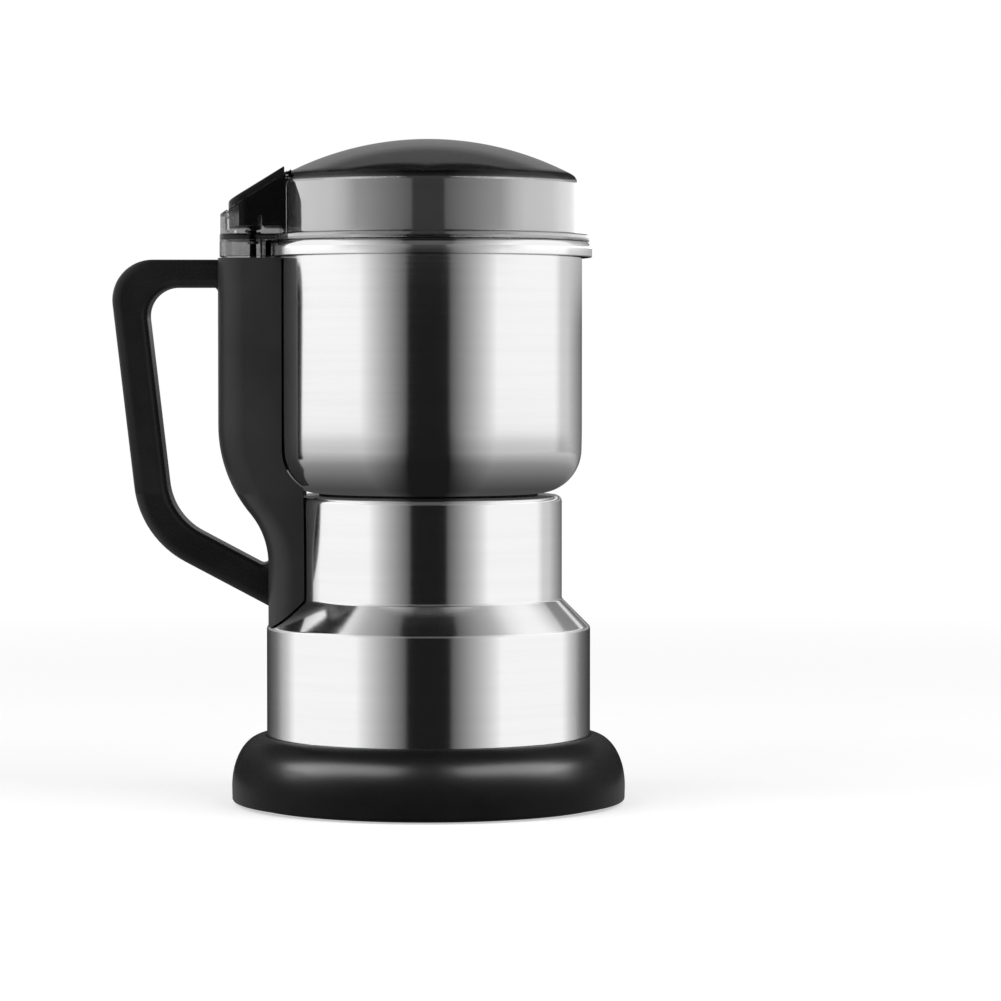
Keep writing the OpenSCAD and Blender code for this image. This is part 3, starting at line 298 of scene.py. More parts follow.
looks = {
    "black_gloss": {"dark": (0.007, 0.007, 0.0075), "light": (0.011, 0.011, 0.0117), "patch": 14,
                    "grain": 0.35, "rough": (0.24, 0.3), "bump": 0.01,
                    "shader": {"Specular IOR Level": 0.2}},
    # the foot's black plastic: less shine than the rest, and a darker colour that is painted shade
    "footBlackPaintedShade": {"dark": (0.005, 0.005, 0.0053), "light": (0.0075, 0.0075, 0.008), "patch": 16,
                  "grain": 0.35, "rough": (0.26, 0.31), "bump": 0.01,
                  "shader": {"Specular IOR Level": 0.035}},
    # the column's black plastic, lighter than the grip's: painted sheen, the bright side mirrored across
    # its rounded face
    "columnBlackPaintedSheen": {"dark": (0.023, 0.023, 0.0236), "light": (0.029, 0.029, 0.0297), "patch": 18,
                    "grain": 0.35, "rough": (0.34, 0.4), "bump": 0.015,
                    "shader": {"Specular IOR Level": 0.25}},
    "black_matte": {"dark": (0.009, 0.009, 0.0095), "light": (0.014, 0.014, 0.015), "patch": 11,
                    "grain": 0.4, "rough": (0.42, 0.52), "bump": 0.06,
                    "shader": {"Specular IOR Level": 0.42}},
    "stainless": {"dark": (0.885, 0.885, 0.888), "light": (0.915, 0.915, 0.917), "patch": 2.2,
                  "patchStretch": (0.02, 0.02, 1), "grain": 0.6, "stretch": (0.02, 0.02, 1),
                  "rough": (0.1, 0.125), "bump": 0.0015, "shader": {"Metallic": 1.0}},
    "smoke": {"dark": (0.15, 0.15, 0.154), "light": (0.19, 0.19, 0.194), "patch": 22,
              "grain": 6, "rough": (0.02, 0.05),
              "shader": {"Transmission Weight": 1.0, "IOR": 1.25, "Coat Weight": 1.0, "Coat IOR": 4.0,
                         "Coat Roughness": 0.06}},
    # a lighter, clearer copy of the smoke for the housing's walls: painted light, as only the bright
    # backdrop stands behind them
    "smokePaintedLight": {"dark": (0.46, 0.46, 0.465), "light": (0.54, 0.54, 0.545), "patch": 22,
                   "grain": 6, "rough": (0.02, 0.05),
                   "shader": {"Transmission Weight": 1.0, "IOR": 1.35}},
    # a near black copy of the smoke for the upright edge of the housing's floor: painted shade, the dark
    # line where flange meets rim
    "smokePaintedShade": {"dark": (0.012, 0.012, 0.0125), "light": (0.02, 0.02, 0.0205), "patch": 22,
                  "grain": 6, "rough": (0.05, 0.09),
                  "shader": {"Transmission Weight": 1.0, "IOR": 1.3}},
    "rubber": {"dark": (0.011, 0.011, 0.011), "light": (0.02, 0.02, 0.02), "patch": 5,
               "grain": 0.25, "rough": (0.62, 0.8), "bump": 0.2, "shader": {"Specular IOR Level": 0.3}},
    "screw_steel": {"dark": (0.5, 0.5, 0.515), "light": (0.66, 0.66, 0.675), "patch": 2.5,
                    "grain": 0.2, "rough": (0.24, 0.36), "bump": 0.05, "shader": {"Metallic": 1.0}},
    "spring_steel": {"dark": (0.52, 0.52, 0.53), "light": (0.66, 0.66, 0.67), "patch": 1.5,
                     "grain": 0.15, "rough": (0.2, 0.32), "bump": 0.04, "shader": {"Metallic": 1.0}},
    "blade_steel": {"dark": (0.66, 0.66, 0.67), "light": (0.78, 0.78, 0.79), "patch": 6,
                    "grain": 0.3, "stretch": (1, 0.06, 1), "rough": (0.16, 0.28), "bump": 0.05,
                    "shader": {"Metallic": 1.0}},
    "lamination": {"dark": (0.16, 0.16, 0.17), "light": (0.36, 0.36, 0.37), "patch": 0.5,
                   "patchStretch": (0.01, 0.01, 1), "grain": 0.5, "stretch": (0.01, 0.01, 1),
                   "rough": (0.35, 0.6), "bump": 0.35, "shader": {"Metallic": 0.8}},
    "copper": {"dark": (0.45, 0.19, 0.075), "light": (0.7, 0.36, 0.17), "patch": 0.6,
               "patchStretch": (0.05, 0.05, 1), "grain": 0.5, "stretch": (0.05, 0.05, 1),
               "rough": (0.2, 0.4), "bump": 0.4, "shader": {"Metallic": 0.9}},
    "bracket_alloy": {"dark": (0.48, 0.48, 0.49), "light": (0.66, 0.66, 0.67), "patch": 7,
                      "grain": 0.45, "rough": (0.4, 0.55), "bump": 0.12, "shader": {"Metallic": 0.9}},
    "bronze": {"dark": (0.52, 0.35, 0.17), "light": (0.74, 0.54, 0.3), "patch": 1.6,
               "grain": 0.25, "rough": (0.3, 0.45), "bump": 0.08, "shader": {"Metallic": 1.0}},
    "carbon": {"dark": (0.024, 0.024, 0.025), "light": (0.06, 0.06, 0.062), "patch": 0.9,
               "grain": 0.2, "rough": (0.5, 0.75), "bump": 0.2, "shader": {}},
    "red_plastic": {"dark": (0.44, 0.045, 0.03), "light": (0.57, 0.075, 0.055), "patch": 3,
                    "grain": 0.25, "rough": (0.36, 0.46), "bump": 0.06, "shader": {}},
    "lead_sheath": {"dark": (0.05, 0.05, 0.22), "light": (0.09, 0.09, 0.32), "patch": 4,
                    "grain": 0.25, "rough": (0.45, 0.6), "bump": 0.1, "shader": {}},
}
finishes = {slot: newFinish(slot + "Finish", look) for slot, look in looks.items()}
print("finishes made:", len(finishes))


# foot: a domed moulding with a flat lower band

foot = {"lip": 49.5, "band": 4.4, "wall": 3, "edge": 0.8, "topEdge": 0.35, "web": 3, "webThick": 2.6,
        "webIn": 40.5, "seat": 0.15, "topFlat": 0.1, "domeEnd": 88, "domeSteps": 26, "insideSteps": 14,
        "steps": 220, "edgeAim": 99,  # the lower edge is rounded towards this height over the lip
        "bushLip": 1.3, "bushGap": 0.1, "holeFrom": 45, "recessFrom": 56, "holeTo": 70}
footLow, footHigh = nodeBox("foot_base")
bodyLow, bodyHigh = nodeBox("body_shell")
bushLow, bushHigh = nodeBox("cord_bush")


def makeFoot():
    outR, base, top = footHigh.x, footLow.z, footHigh.z
    centre = (foot["lip"], base + foot["band"])
    outA, outB = outR - foot["lip"], top - centre[1]
    inA, inB = outA - foot["wall"], outB - foot["wall"]
    webZ = top - foot["web"]
    seatR = bodyHigh.x + foot["seat"]
    innerTop = math.degrees(math.asin((webZ - foot["webThick"] - centre[1]) / inB))
    outline = roundOff([
        (outR - foot["wall"], base), (outR, base, foot["edge"]), (foot["lip"], foot["edgeAim"])])[:-1]
    outline += arc(centre, (outA, outB), 0, foot["domeEnd"], foot["domeSteps"])
    outline += [(foot["lip"] - foot["topFlat"], top), (seatR + foot["topEdge"], top),
                (seatR, top - foot["topEdge"]), (seatR, webZ),
                (foot["webIn"], webZ), (foot["webIn"], webZ - foot["webThick"])]
    outline += arc(centre, (inA, inB), innerTop, 0, foot["insideSteps"])
    piece = lathe("footMoulding", outline, steps=foot["steps"])
    bushZ = (bushLow.z + bushHigh.z) / 2
    collarR = (bushHigh.x - bushLow.x) / 2
    outside = (0, foot["holeTo"], bushZ)
    combine(piece, rod(collarR - foot["bushLip"], (0, foot["holeFrom"], bushZ), outside))
    combine(piece, rod(collarR + foot["bushGap"], (0, foot["recessFrom"], bushZ), outside))
    # a darker copy of the black plastic: painted shade
    settle(piece, "grinder", "black_gloss", finishes["footBlackPaintedShade"], "foot_base")


makeFoot()


# body: drawn steel, stepped in to a neck under the bowl

shell = {"wall": 0.8, "shoulderZ": 53.1, "neckZ": 61.6, "neckR": 40, "shoulderEdge": 1.3, "topEdge": 2,
         "flange": 5.5, "bore": 8, "baseEdge": 0.5, "insideShare": 0.6}
slantShift = math.sqrt(2) - 1  # an offset 45 degree shoulder's corners shift by this share of the offset


def makeShell():
    outR, base, top = bodyHigh.x, bodyLow.z, bodyHigh.z
    wall, edge = shell["wall"], shell["shoulderEdge"]
    lean = wall * slantShift
    outline = roundOff([
        (outR - shell["flange"], base), (outR, base, shell["baseEdge"]),
        (outR, shell["shoulderZ"], edge), (shell["neckR"], shell["neckZ"], edge),
        (shell["neckR"], top, shell["topEdge"]), (shell["bore"], top), (shell["bore"], top - wall),
        (shell["neckR"] - wall, top - wall, shell["topEdge"] - wall),
        (shell["neckR"] - wall, shell["neckZ"] - lean, edge + wall),
        (outR - wall, shell["shoulderZ"] - lean, edge - wall * shell["insideShare"]),
        (outR - wall, base + wall), (outR - shell["flange"], base + wall)])
    piece = lathe("steelBody", outline)
    settle(piece, "grinder", "stainless", finishes["stainless"], "body_shell")


makeShell()


# bowl: deep drawn steel with a rolled rim

cup = {"wall": 0.8, "corner": 13.2, "rimOut": 3, "rimDrop": 5, "rimEdge": 2.6, "bore": 7.65,
       "ease": 1.8, "easeUp": 16.4, "easeRound": 220,  # the wall leans in a little before its corner
       "easeSteps": 4, "cornerSteps": 30, "edgeSteps": 10, "fold": 0.6, "rimTip": 0.3, "mouth": 0.4}
bowlLow, bowlHigh = nodeBox("bowl")


def makeBowl():
    rimR, base, top = bowlHigh.x, bowlLow.z, bowlHigh.z
    outR, wall, edge = rimR - cup["rimOut"], cup["wall"], cup["rimEdge"]
    easeZ, easeRound, easeSteps = base + cup["easeUp"], cup["easeRound"], cup["easeSteps"]
    corner, steps = cup["corner"], cup["cornerSteps"]
    footR = outR - cup["easeUp"] * math.tan(math.radians(cup["ease"]))
    outline = roundOff([
        (cup["bore"], base), (footR, base, corner, steps), (outR, easeZ, easeRound, easeSteps),
        (outR, top - wall, cup["fold"]), (rimR - wall, top - wall, edge - wall),
        (rimR - wall, top - cup["rimDrop"]), (rimR, top - cup["rimDrop"], cup["rimTip"]),
        (rimR, top, edge), (outR - wall, top, cup["mouth"]),
        (outR - wall, easeZ, easeRound - wall, easeSteps),
        (footR - wall, base + wall, corner - wall, steps),
        (cup["bore"], base + wall)], cup["edgeSteps"])
    piece = lathe("grindingBowl", outline)
    settle(piece, "grinder", "stainless", finishes["stainless"], "bowl")


makeBowl()


# lid: smoked dome in one with the housing of the press button

lid = {"radius": 44.8, "wall": 2, "dome": 92.5, "corner": 3.5, "flangeThick": 1.7, "collar": 6.5,
       "lipIn": 1.3, "lipGap": 0.12, "lipDrop": 0.4,  # the lip follows the rim's rounding
       "soft": 0.45, "root": 0.2, "edgeSteps": 4, "domeSteps": 30, "cornerSteps": 12,
       "domeInside": 24, "cornerInside": 10}
tab = {"half": 17, "corner": 8, "wall": 1.6, "nose": 5.6, "slope": 31.6, "lip": 2.5, "hug": 0.4, "rib": 1,
       "stemX": 52.4, "stemHole": 1.3, "stemSides": 32, "soft": 0.3, "softSteps": 2, "softFrom": 40,
       "inside": 12, "skirtGap": 0.3, "mouthUp": 1,
       "under": 2, "past": 5, "above": 4, "over": 9, "holePast": 1}  # how far cutters run on
# how far the housing reaches in, room round the dome and flange, and which faces are upright or at the end
zone = {"reach": 15, "apart": 0.1, "step": 0.01, "upright": 0.5, "endDeep": 1, "endFacing": 0.93}
lidLow, lidHigh = nodeBox("lid_cover")
rimZ = bowlHigh.z
flangeZ = rimZ + lid["flangeThick"]
tabIn = tab["inside"] - lid["radius"]  # the housing and its button start from here, inside the dome
apexOver = lidHigh.z + tab["above"]  # clear above everything on the lid


def slopeAt(rise):  # plane of the housing's sloped top, raised by an amount
    lean = math.radians(tab["slope"])
    through = Vector((lidLow.x, 0, flangeZ + tab["nose"] + rise)) * mm
    return {"through": through, "facing": Vector((-math.sin(lean), 0, math.cos(lean)))}


def makeDome():
    outR, wall, corner, dome, soft = lid["radius"], lid["wall"], lid["corner"], lid["dome"], lid["soft"]
    apex, flangeR = lidHigh.z, lidHigh.x
    domeZ = apex - dome
    cornerX = outR - corner
    cornerUp = math.sqrt((dome - corner) ** 2 - cornerX ** 2)
    cornerZ = domeZ + cornerUp
    meet = math.degrees(math.atan2(cornerUp, cornerX))
    lipR, collarZ = flangeR - lid["lipIn"], rimZ - lid["collar"]
    outline = [(0, apex - wall)]
    outline += arc((0, domeZ), (dome - wall, dome - wall), 90, meet, lid["domeInside"])[1:]
    outline += arc((cornerX, cornerZ), (corner - wall, corner - wall), meet, 0, lid["cornerInside"])[1:]
    foldIn = roundOff([
        (outR - wall, cornerZ), (outR - wall, collarZ, soft), (outR, collarZ, soft),
        (outR, rimZ, lid["root"]), (lipR, rimZ), (lipR, rimZ + lid["lipGap"]),
        (flangeR, rimZ - lid["lipDrop"], soft / 2), (flangeR, flangeZ, soft), (outR, flangeZ, soft),
        (outR, cornerZ)], lid["edgeSteps"])
    outline += foldIn[1:]
    outline += arc((cornerX, cornerZ), (corner, corner), 0, meet, lid["cornerSteps"])[1:]
    outline += arc((0, domeZ), (dome, dome), meet, 90, lid["domeSteps"])[1:]
    return lathe("smokedLid", outline, closed=False, smooth=crispTurn)


def makeLid():
    half, wall, face, past = tab["half"], tab["wall"], lidLow.x, tab["past"]
    skirtZ = nodeBox("handle_column")[1].z + tab["skirtGap"]
    under, over = skirtZ - tab["under"], apexOver + tab["over"]
    hugR = bowlHigh.x + tab["hug"]
    piece = makeDome()
    housing = block("housing", (face, -half, skirtZ), (tabIn, half, apexOver), slopeAt(0), tab["corner"])
    softenEdges(housing, tab["soft"], tab["softSteps"], tab["softFrom"])
    combine(housing, post(lid["radius"] - lid["wall"] / 2, rimZ, over))
    combine(housing, post(hugR, under, rimZ))
    lower = block("lowerPocket", (face + wall, wall - half, under), (tabIn, half - wall, rimZ), None,
                  tab["corner"] - wall)
    combine(lower, post(hugR + tab["rib"], skirtZ - past, rimZ + past))
    upper = block("upperPocket", (face + wall, wall - half, flangeZ), (tabIn, half - wall, apexOver),
                  slopeAt(-wall), tab["corner"] - wall)
    combine(upper, post(lid["radius"], rimZ - past, over))
    mouth = block("mouth", (face + tab["lip"], wall - half, flangeZ + tab["mouthUp"]),
                  (tabIn, half - wall, apexOver))
    combine(mouth, post(lid["radius"], rimZ - past, over))
    combine(piece, housing, "UNION")
    for room in (lower, upper, mouth):
        combine(piece, room)
    combine(piece, rod(tab["stemHole"], (-tab["stemX"], 0, rimZ - tab["holePast"]),
                       (-tab["stemX"], 0, flangeZ + tab["holePast"]), tab["stemSides"]))
    paintSmokeLightAndShade(piece)
    settle(piece, "lid", "smoke", finishes["smoke"], "lid_cover")


def middleOf(face):
    return face.calc_center_median() / mm


def onHousing(face):
    middle = middleOf(face)
    return middle.x < zone["reach"] - lid["radius"] and middle.xy.length > lid["radius"] + zone["apart"]


def pastFlange(face):
    return onHousing(face) and middleOf(face).xy.length > lidHigh.x + zone["apart"]


def onWalls(face):
    height = middleOf(face).z
    above = onHousing(face) and height > flangeZ + zone["step"]
    return above or (pastFlange(face) and height < rimZ - zone["step"])


def onFloorEdge(face):
    return pastFlange(face) and rimZ < middleOf(face).z < flangeZ and abs(face.normal.z) < zone["upright"]


def onEnd(face):  # seen edge on, where smoke looks deepest
    middle = middleOf(face)
    facing = middle.x < lidLow.x + zone["endDeep"] and face.normal.x < -zone["endFacing"]
    return facing and not rimZ < middle.z < flangeZ


def paintSmokeLightAndShade(piece):  # painted light and shade: lighter smoke on the housing's walls, as nothing dark is behind them, and near black smoke on the edge of its floor
    for name in ("smoke", "smokePaintedLight", "smokePaintedShade"):
        piece.data.materials.append(finishes[name])
    takeUp(piece)
    bpy.ops.object.mode_set(mode="EDIT")
    for level in (rimZ, flangeZ):
        pick("FACE", onHousing)
        bpy.ops.mesh.bisect(plane_co=(0, 0, level * mm), plane_no=(0, 0, 1))
    # walls get the painted light, the floor's edge the painted shade, and the end faces keep the plain
    # smoke
    for place, test in ((1, onWalls), (2, onFloorEdge), (0, onEnd)):
        pick("FACE", test)
        piece.active_material_index = place
        bpy.ops.object.material_slot_assign()
    reshade(piece)


makeLid()


# press button: black wedge that stands proud of its housing

button = {"proud": 2.4, "cap": 3.2, "corner": 4, "gap": 0.3, "blockHalf": 3.4, "notchIn": 2.1,
          "notchWide": 1.2, "notchHigh": 3, "springBore": 3.05, "springGap": 0.05,
          "soft": 0.7, "softSteps": 4, "softFrom": 25,
          "past": 5, "below": 1, "postBelow": 4}  # how far cutters run on
buttonLow, buttonHigh = nodeBox("press_button")
springLow, springHigh = nodeBox("button_spring")


def makeButton():
    face, half, base = buttonLow.x, buttonHigh.y, buttonLow.z
    stemX = tab["stemX"]
    wide, below = half + button["past"], base - button["below"]
    piece = block("pressButton", (face, -half, base), (tabIn, half, apexOver), slopeAt(button["proud"]),
                  button["corner"])
    softenEdges(piece, button["soft"], button["softSteps"], button["softFrom"])
    combine(piece, post(lid["radius"] + button["gap"], base - button["postBelow"], apexOver + tab["over"]))
    combine(piece, block("under", (face - button["past"], -wide, below),
                         (-stemX - button["blockHalf"], wide, apexOver),
                         slopeAt(button["proud"] - button["cap"])))
    notchX = button["notchIn"] - stemX
    combine(piece, block("notch", (notchX, -wide, below),
                         (notchX + button["notchWide"], wide, base + button["notchHigh"])))
    springTop = springHigh.z + button["springGap"]
    combine(piece, rod(button["springBore"], (-stemX, 0, below), (-stemX, 0, springTop)))
    reshade(piece)
    settle(piece, "button", "black_gloss", finishes["black_gloss"], "press_button")


makeButton()


# column: hollow upright that hugs the steel and steps in at its foot

column = {"wall": 2.2, "corner": 8, "taper": 1.5, "inner": 28, "hug": 0.4, "footX": 47.7, "bendLow": 72.4,
          "bendHigh": 113.5, "bendShare": 0.64, "steps": 26, "soft": 0.5, "softSteps": 2, "softFrom": 50,
          "roomIn": 6, "roomBelow": 8, "roomAbove": 3,  # how far the room's cutter runs on
          "spaceBelow": 20, "spaceAbove": 5, "spaceSteps": 14}  # and the cutter for the steel
columnLow, columnHigh = nodeBox("handle_column")


def columnFace(z):  # distance of the outer face from the axis at a height
    topX, footX = -columnLow.x, column["footX"]
    rise, run = column["bendHigh"] - column["bendLow"], topX - footX
    lean = 2 * math.atan2(run, rise)
    reach = rise / math.sin(lean)
    upper = reach * column["bendShare"]
    lower = reach - upper
    if z >= column["bendHigh"]:
        return topX
    if z <= column["bendLow"]:
        return footX
    if z >= column["bendHigh"] - upper * math.sin(lean):
        return topX - upper + math.sqrt(upper ** 2 - (column["bendHigh"] - z) ** 2)
    return footX + lower - math.sqrt(lower ** 2 - (z - column["bendLow"]) ** 2)


def columnBlank(name, inset, inner, base, top):
    half, corner = columnHigh.y - inset, column["corner"] - inset
    low, steps = column["bendLow"], column["steps"]
    rise = column["bendHigh"] - low
    heights = [base] + [low + rise * step / steps for step in range(steps + 1)] + [top]
    face = columnFace(base) - inset
    plan = [(-inner, half - column["taper"])]
    plan += arc((corner - face, half - corner), (corner, corner), 90, 180, cornerSteps)
    plan += arc((corner - face, corner - half), (corner, corner), 180, 270, cornerSteps)
    plan += [(-inner, column["taper"] - half)]
    drawLine([(x, y, base) for x, y in plan], True)
    bpy.ops.mesh.select_all(action="SELECT")
    bpy.ops.mesh.edge_face_add()
    for below, above in zip(heights, heights[1:]):
        pick("FACE", lambda f: all(abs(v.co.z - below * mm) < hair for v in f.verts))
        bpy.ops.mesh.extrude_region_move(TRANSFORM_OT_translate={"value": (0, 0, (above - below) * mm)})
        outward = columnFace(above) - columnFace(below)
        if outward:
            pick("VERT", lambda v: abs(v.co.z - above * mm) < hair and v.co.x < -inner * mm - hair)
            bpy.ops.transform.translate(value=(-outward * mm, 0, 0))
    return closeUp(name, crispTurn)


def steelSpace(gap):  # room for the steel that the column hugs
    bowlR = bowlHigh.x - cup["rimOut"]
    flatR = bowlR - cup["corner"]
    lean = gap * slantShift
    around = cup["corner"] + gap
    first = -math.degrees(math.acos((shell["neckR"] + gap - flatR) / around))
    low, high = shell["shoulderZ"] - column["spaceBelow"], columnHigh.z + column["spaceAbove"]
    outline = [(0, low), (bodyHigh.x + gap, low),
               (bodyHigh.x + gap, shell["shoulderZ"] + lean), (shell["neckR"] + gap, shell["neckZ"] + lean)]
    outline += arc((flatR, bowlLow.z + cup["corner"]), (around, around), first, 0, column["spaceSteps"])
    outline += [(bowlR + gap, high), (0, high)]
    return lathe("steelSpace", outline, closed=False)


def makeColumn():
    base, top = shell["shoulderZ"], columnHigh.z
    piece = columnBlank("handleColumn", 0, column["inner"], base, top)
    combine(piece, columnBlank("columnRoom", column["wall"], column["inner"] - column["roomIn"],
                               base - column["roomBelow"], top + column["roomAbove"]))
    combine(piece, steelSpace(column["hug"]))
    softenEdges(piece, column["soft"], column["softSteps"], column["softFrom"])
    reshade(piece)
    # a lighter copy of the black plastic, its painted sheen
    settle(piece, "grinder", "black_gloss", finishes["columnBlackPaintedSheen"], "handle_column")


makeColumn()


# grip: open loop outside the column

grip = {"reach": 33, "lean": 6.6, "slope": 28, "topThick": 8.2, "thick": 10, "corner": 12, "bend": 29,
        "cornerIn": 8.5, "bendIn": 19, "outerEdge": 3, "outerSteps": 6, "innerEdge": 2.6, "innerSteps": 5,
        "fillet": 1.8, "deep": 3.4, "sink": 0.6, "sinkPast": 1, "steps": 16}
gripLow, gripHigh = nodeBox("handle_grip")


def gripCorners(topIn, sideIn):  # where the straight runs of one edge of the loop would meet
    lean, slope = math.radians(grip["lean"]), math.radians(grip["slope"])
    topZ, outX = gripHigh.z, grip["reach"] - columnLow.x
    side = Vector((outX - sideIn * math.cos(lean), topZ + sideIn * math.sin(lean)))
    down = Vector((-math.sin(lean), -math.cos(lean)))
    low = Vector((column["footX"], gripLow.z + sideIn / math.cos(slope)))
    back = Vector((-math.cos(slope), -math.sin(slope)))
    first = side + down * ((topZ - topIn - side.y) / down.y)
    gap = low - side
    second = side + down * ((gap.x * back.y - gap.y * back.x) / (down.x * back.y - down.y * back.x))
    return first, second, low


def onLine(points, half):  # test for edges that run along a line on either side of the loop
    places = [Vector((x, side, z)) * mm for x, z in points for side in (-half, half)]
    return lambda e: (abs(e.verts[0].co.y - e.verts[1].co.y) < hair
                      and all(min((v.co - place).length for place in places) < hair / 2 for v in e.verts))


def makeGrip():
    half, steps, deep, fillet = gripHigh.y, grip["steps"], grip["deep"], grip["fillet"]
    columnX, footX, topZ = -columnLow.x, column["footX"], gripHigh.z
    slope = math.radians(grip["slope"])
    first, second, low = gripCorners(0, 0)
    firstIn, secondIn, lowIn = gripCorners(grip["topThick"], grip["thick"])
    topIn = topZ - grip["topThick"]
    lowEnd = lowIn.y + fillet / math.tan((math.pi / 2 - slope) / 2) + hair / mm  # low fillet on the column
    topEnd = topIn - fillet - hair / mm
    ring = roundOff([
        (columnX - deep, topZ), (*first, grip["corner"]), (*second, grip["bend"]),
        (footX - deep, low.y - deep * math.tan(slope)), (footX - deep, lowEnd),
        (footX, lowEnd), (*lowIn, fillet), (*secondIn, grip["bendIn"]), (*firstIn, grip["cornerIn"]),
        (columnX, topIn, fillet), (columnX, topEnd), (columnX - deep, topEnd)], steps)
    ring = [(-x, z) for x, z in ring]
    outer, inner = ring[:2 * steps + 4], ring[2 * steps + 5:-1]  # without what is in the column
    drawLine([(x, -half, z) for x, z in ring], True)
    bpy.ops.mesh.select_all(action="SELECT")
    bpy.ops.mesh.edge_face_add()
    bpy.ops.mesh.extrude_region_move(TRANSFORM_OT_translate={"value": (0, 2 * half * mm, 0)})
    bpy.ops.mesh.select_all(action="SELECT")
    bpy.ops.mesh.normals_make_consistent(inside=False)
    pick("EDGE", onLine(outer, half))
    bpy.ops.mesh.bevel(offset=grip["outerEdge"] * mm, segments=grip["outerSteps"], affect="EDGES")
    pick("EDGE", onLine(inner, half))
    bpy.ops.mesh.bevel(offset=grip["innerEdge"] * mm, segments=grip["innerSteps"], affect="EDGES")
    piece = closeUp("handleGrip", crispTurn)
    # the ends stop just inside the column's face
    combine(piece, columnBlank("gripEnds", grip["sink"], column["inner"], shell["shoulderZ"],
                               columnHigh.z + grip["sinkPast"]))
    reshade(piece)
    settle(piece, "grinder", "black_gloss", finishes["black_gloss"], "handle_grip")


makeGrip()


# springs: wound wire under the button and behind the brushes

coil = {"sides": 12, "perTurn": 28, "buttonWire": 0.7, "buttonTurns": 6, "brushWire": 0.5, "brushTurns": 4,
        "pressed": 2.2, "seat": 0.05, "smooth": 40}


def windSpring(name, radius, wire, turns, length):  # a coil that climbs along Z from the origin
    startFresh()
    bpy.ops.mesh.primitive_circle_add(vertices=coil["sides"], radius=wire / 2 * mm,
                                      location=(radius * mm, 0, 0), rotation=(quarterTurn, 0, 0))
    bakePlace()
    piece = bpy.context.object
    wind = piece.modifiers.new("wind", "SCREW")
    wind.angle = math.tau * turns
    wind.screw_offset = length * mm
    wind.steps = coil["perTurn"] * turns
    wind.render_steps = wind.steps
    bpy.ops.object.modifier_apply(modifier=wind.name)
    bpy.ops.object.mode_set(mode="EDIT")
    pick("EDGE", lambda e: len(e.link_faces) == 1)
    bpy.ops.mesh.fill_holes(sides=0)
    return closeUp(name, coil["smooth"])


def makeButtonSpring():
    wire, high = coil["buttonWire"], springHigh.z - springLow.z
    radius = (springHigh.y - springLow.y - wire) / 2
    piece = windSpring("buttonSpring", radius, wire, coil["buttonTurns"], high - wire)
    bpy.ops.transform.translate(value=Vector((-tab["stemX"], 0, springLow.z + wire / 2)) * mm)
    bakePlace()
    settle(piece, "lid", "spring_steel", finishes["spring_steel"], "button_spring")
    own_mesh(piece)


def makeBrushSprings():
    wire, (low, high) = coil["brushWire"], nodeBox("brush_springs")
    startX = nodeBox("carbon_brushes")[1].x + coil["seat"] + wire / 2
    radius = (high.y - low.y - wire) / 2
    middle = (low.z + high.z) / 2
    piece = windSpring("brushSprings", radius, wire, coil["brushTurns"], high.x - wire / 2 - startX)
    piece.rotation_euler = (0, quarterTurn, 0)
    piece.location = Vector((startX, 0, middle)) * mm
    bakePlace()
    bpy.ops.object.mode_set(mode="EDIT")
    bpy.ops.mesh.select_all(action="SELECT")
    bpy.ops.mesh.duplicate()
    bpy.ops.transform.rotate(value=math.pi, orient_axis="Z", center_override=(0, 0, middle * mm))
    bpy.ops.object.mode_set(mode="OBJECT")
    settle(piece, "grinder", "spring_steel", finishes["spring_steel"], "brush_springs")


makeButtonSpring()
makeBrushSprings()


# floor, light and camera

studio = {"ambient": 0.35, "cloth": 0.011, "sides": 96}  # diffuse light, glow of dark cloth, flag's sides


def newCloth(name):  # an empty material and the place on its object
    finish = bpy.data.materials.new(name)
    finish.use_nodes = True
    finish.node_tree.nodes.clear()
    return finish, addNode(finish, "TexCoord").outputs["Object"]


def work(finish, operation, first, second=0.0):
    return addNode(finish, "Math", {0: first, 1: second}, operation=operation).outputs[0]


def levels(finish, amount, stops):  # (amount, level) stops read off at an amount
    first, last = stops[0][0], stops[-1][0]
    share = addNode(finish, "MapRange", {"Value": amount, "From Min": first, "From Max": last}).outputs[0]
    node = addNode(finish, "ValToRGB", {"Fac": share})
    line = node.color_ramp.elements
    while len(line) < len(stops):
        line.new(0.5)
    for spot, (where, level) in zip(line, stops):
        spot.position = (where - first) / (last - first)
        spot.color = (level, level, level, 1)
    return node.outputs["Color"]


def strongLevels(finish, amount, stops):  # for levels up to 2, because a ramp ends at 1
    halves = [(where, level / 2) for where, level in stops]
    return work(finish, "MULTIPLY", levels(finish, amount, halves), 2.0)


def inRadians(stops):
    return [(math.radians(angle), level) for angle, level in stops]


def fromAxis(finish, parts):  # distance from the upright axis
    level = addNode(finish, "CombineXYZ", {"X": parts["X"], "Y": parts["Y"]}).outputs[0]
    return addNode(finish, "VectorMath", {0: level}, operation="LENGTH").outputs["Value"]


def newFlag(name):  # for a new primitive, its finish and the places on it
    bakePlace()
    finish, place = newCloth(name + "Finish")
    return finish, addNode(finish, "SeparateXYZ", {0: place}).outputs


def makeRing(name, radius, low, high):  # an upright ring
    startFresh()
    bpy.ops.mesh.primitive_cylinder_add(
        vertices=studio["sides"], radius=radius, depth=high - low, end_fill_type="NOTHING",
        location=(0, 0, (low + high) / 2))
    return newFlag(name)


def makeSheet(name, radius, height):  # a level disc
    startFresh()
    bpy.ops.mesh.primitive_circle_add(
        vertices=studio["sides"], radius=radius, fill_type="NGON", location=(0, 0, height))
    return newFlag(name)


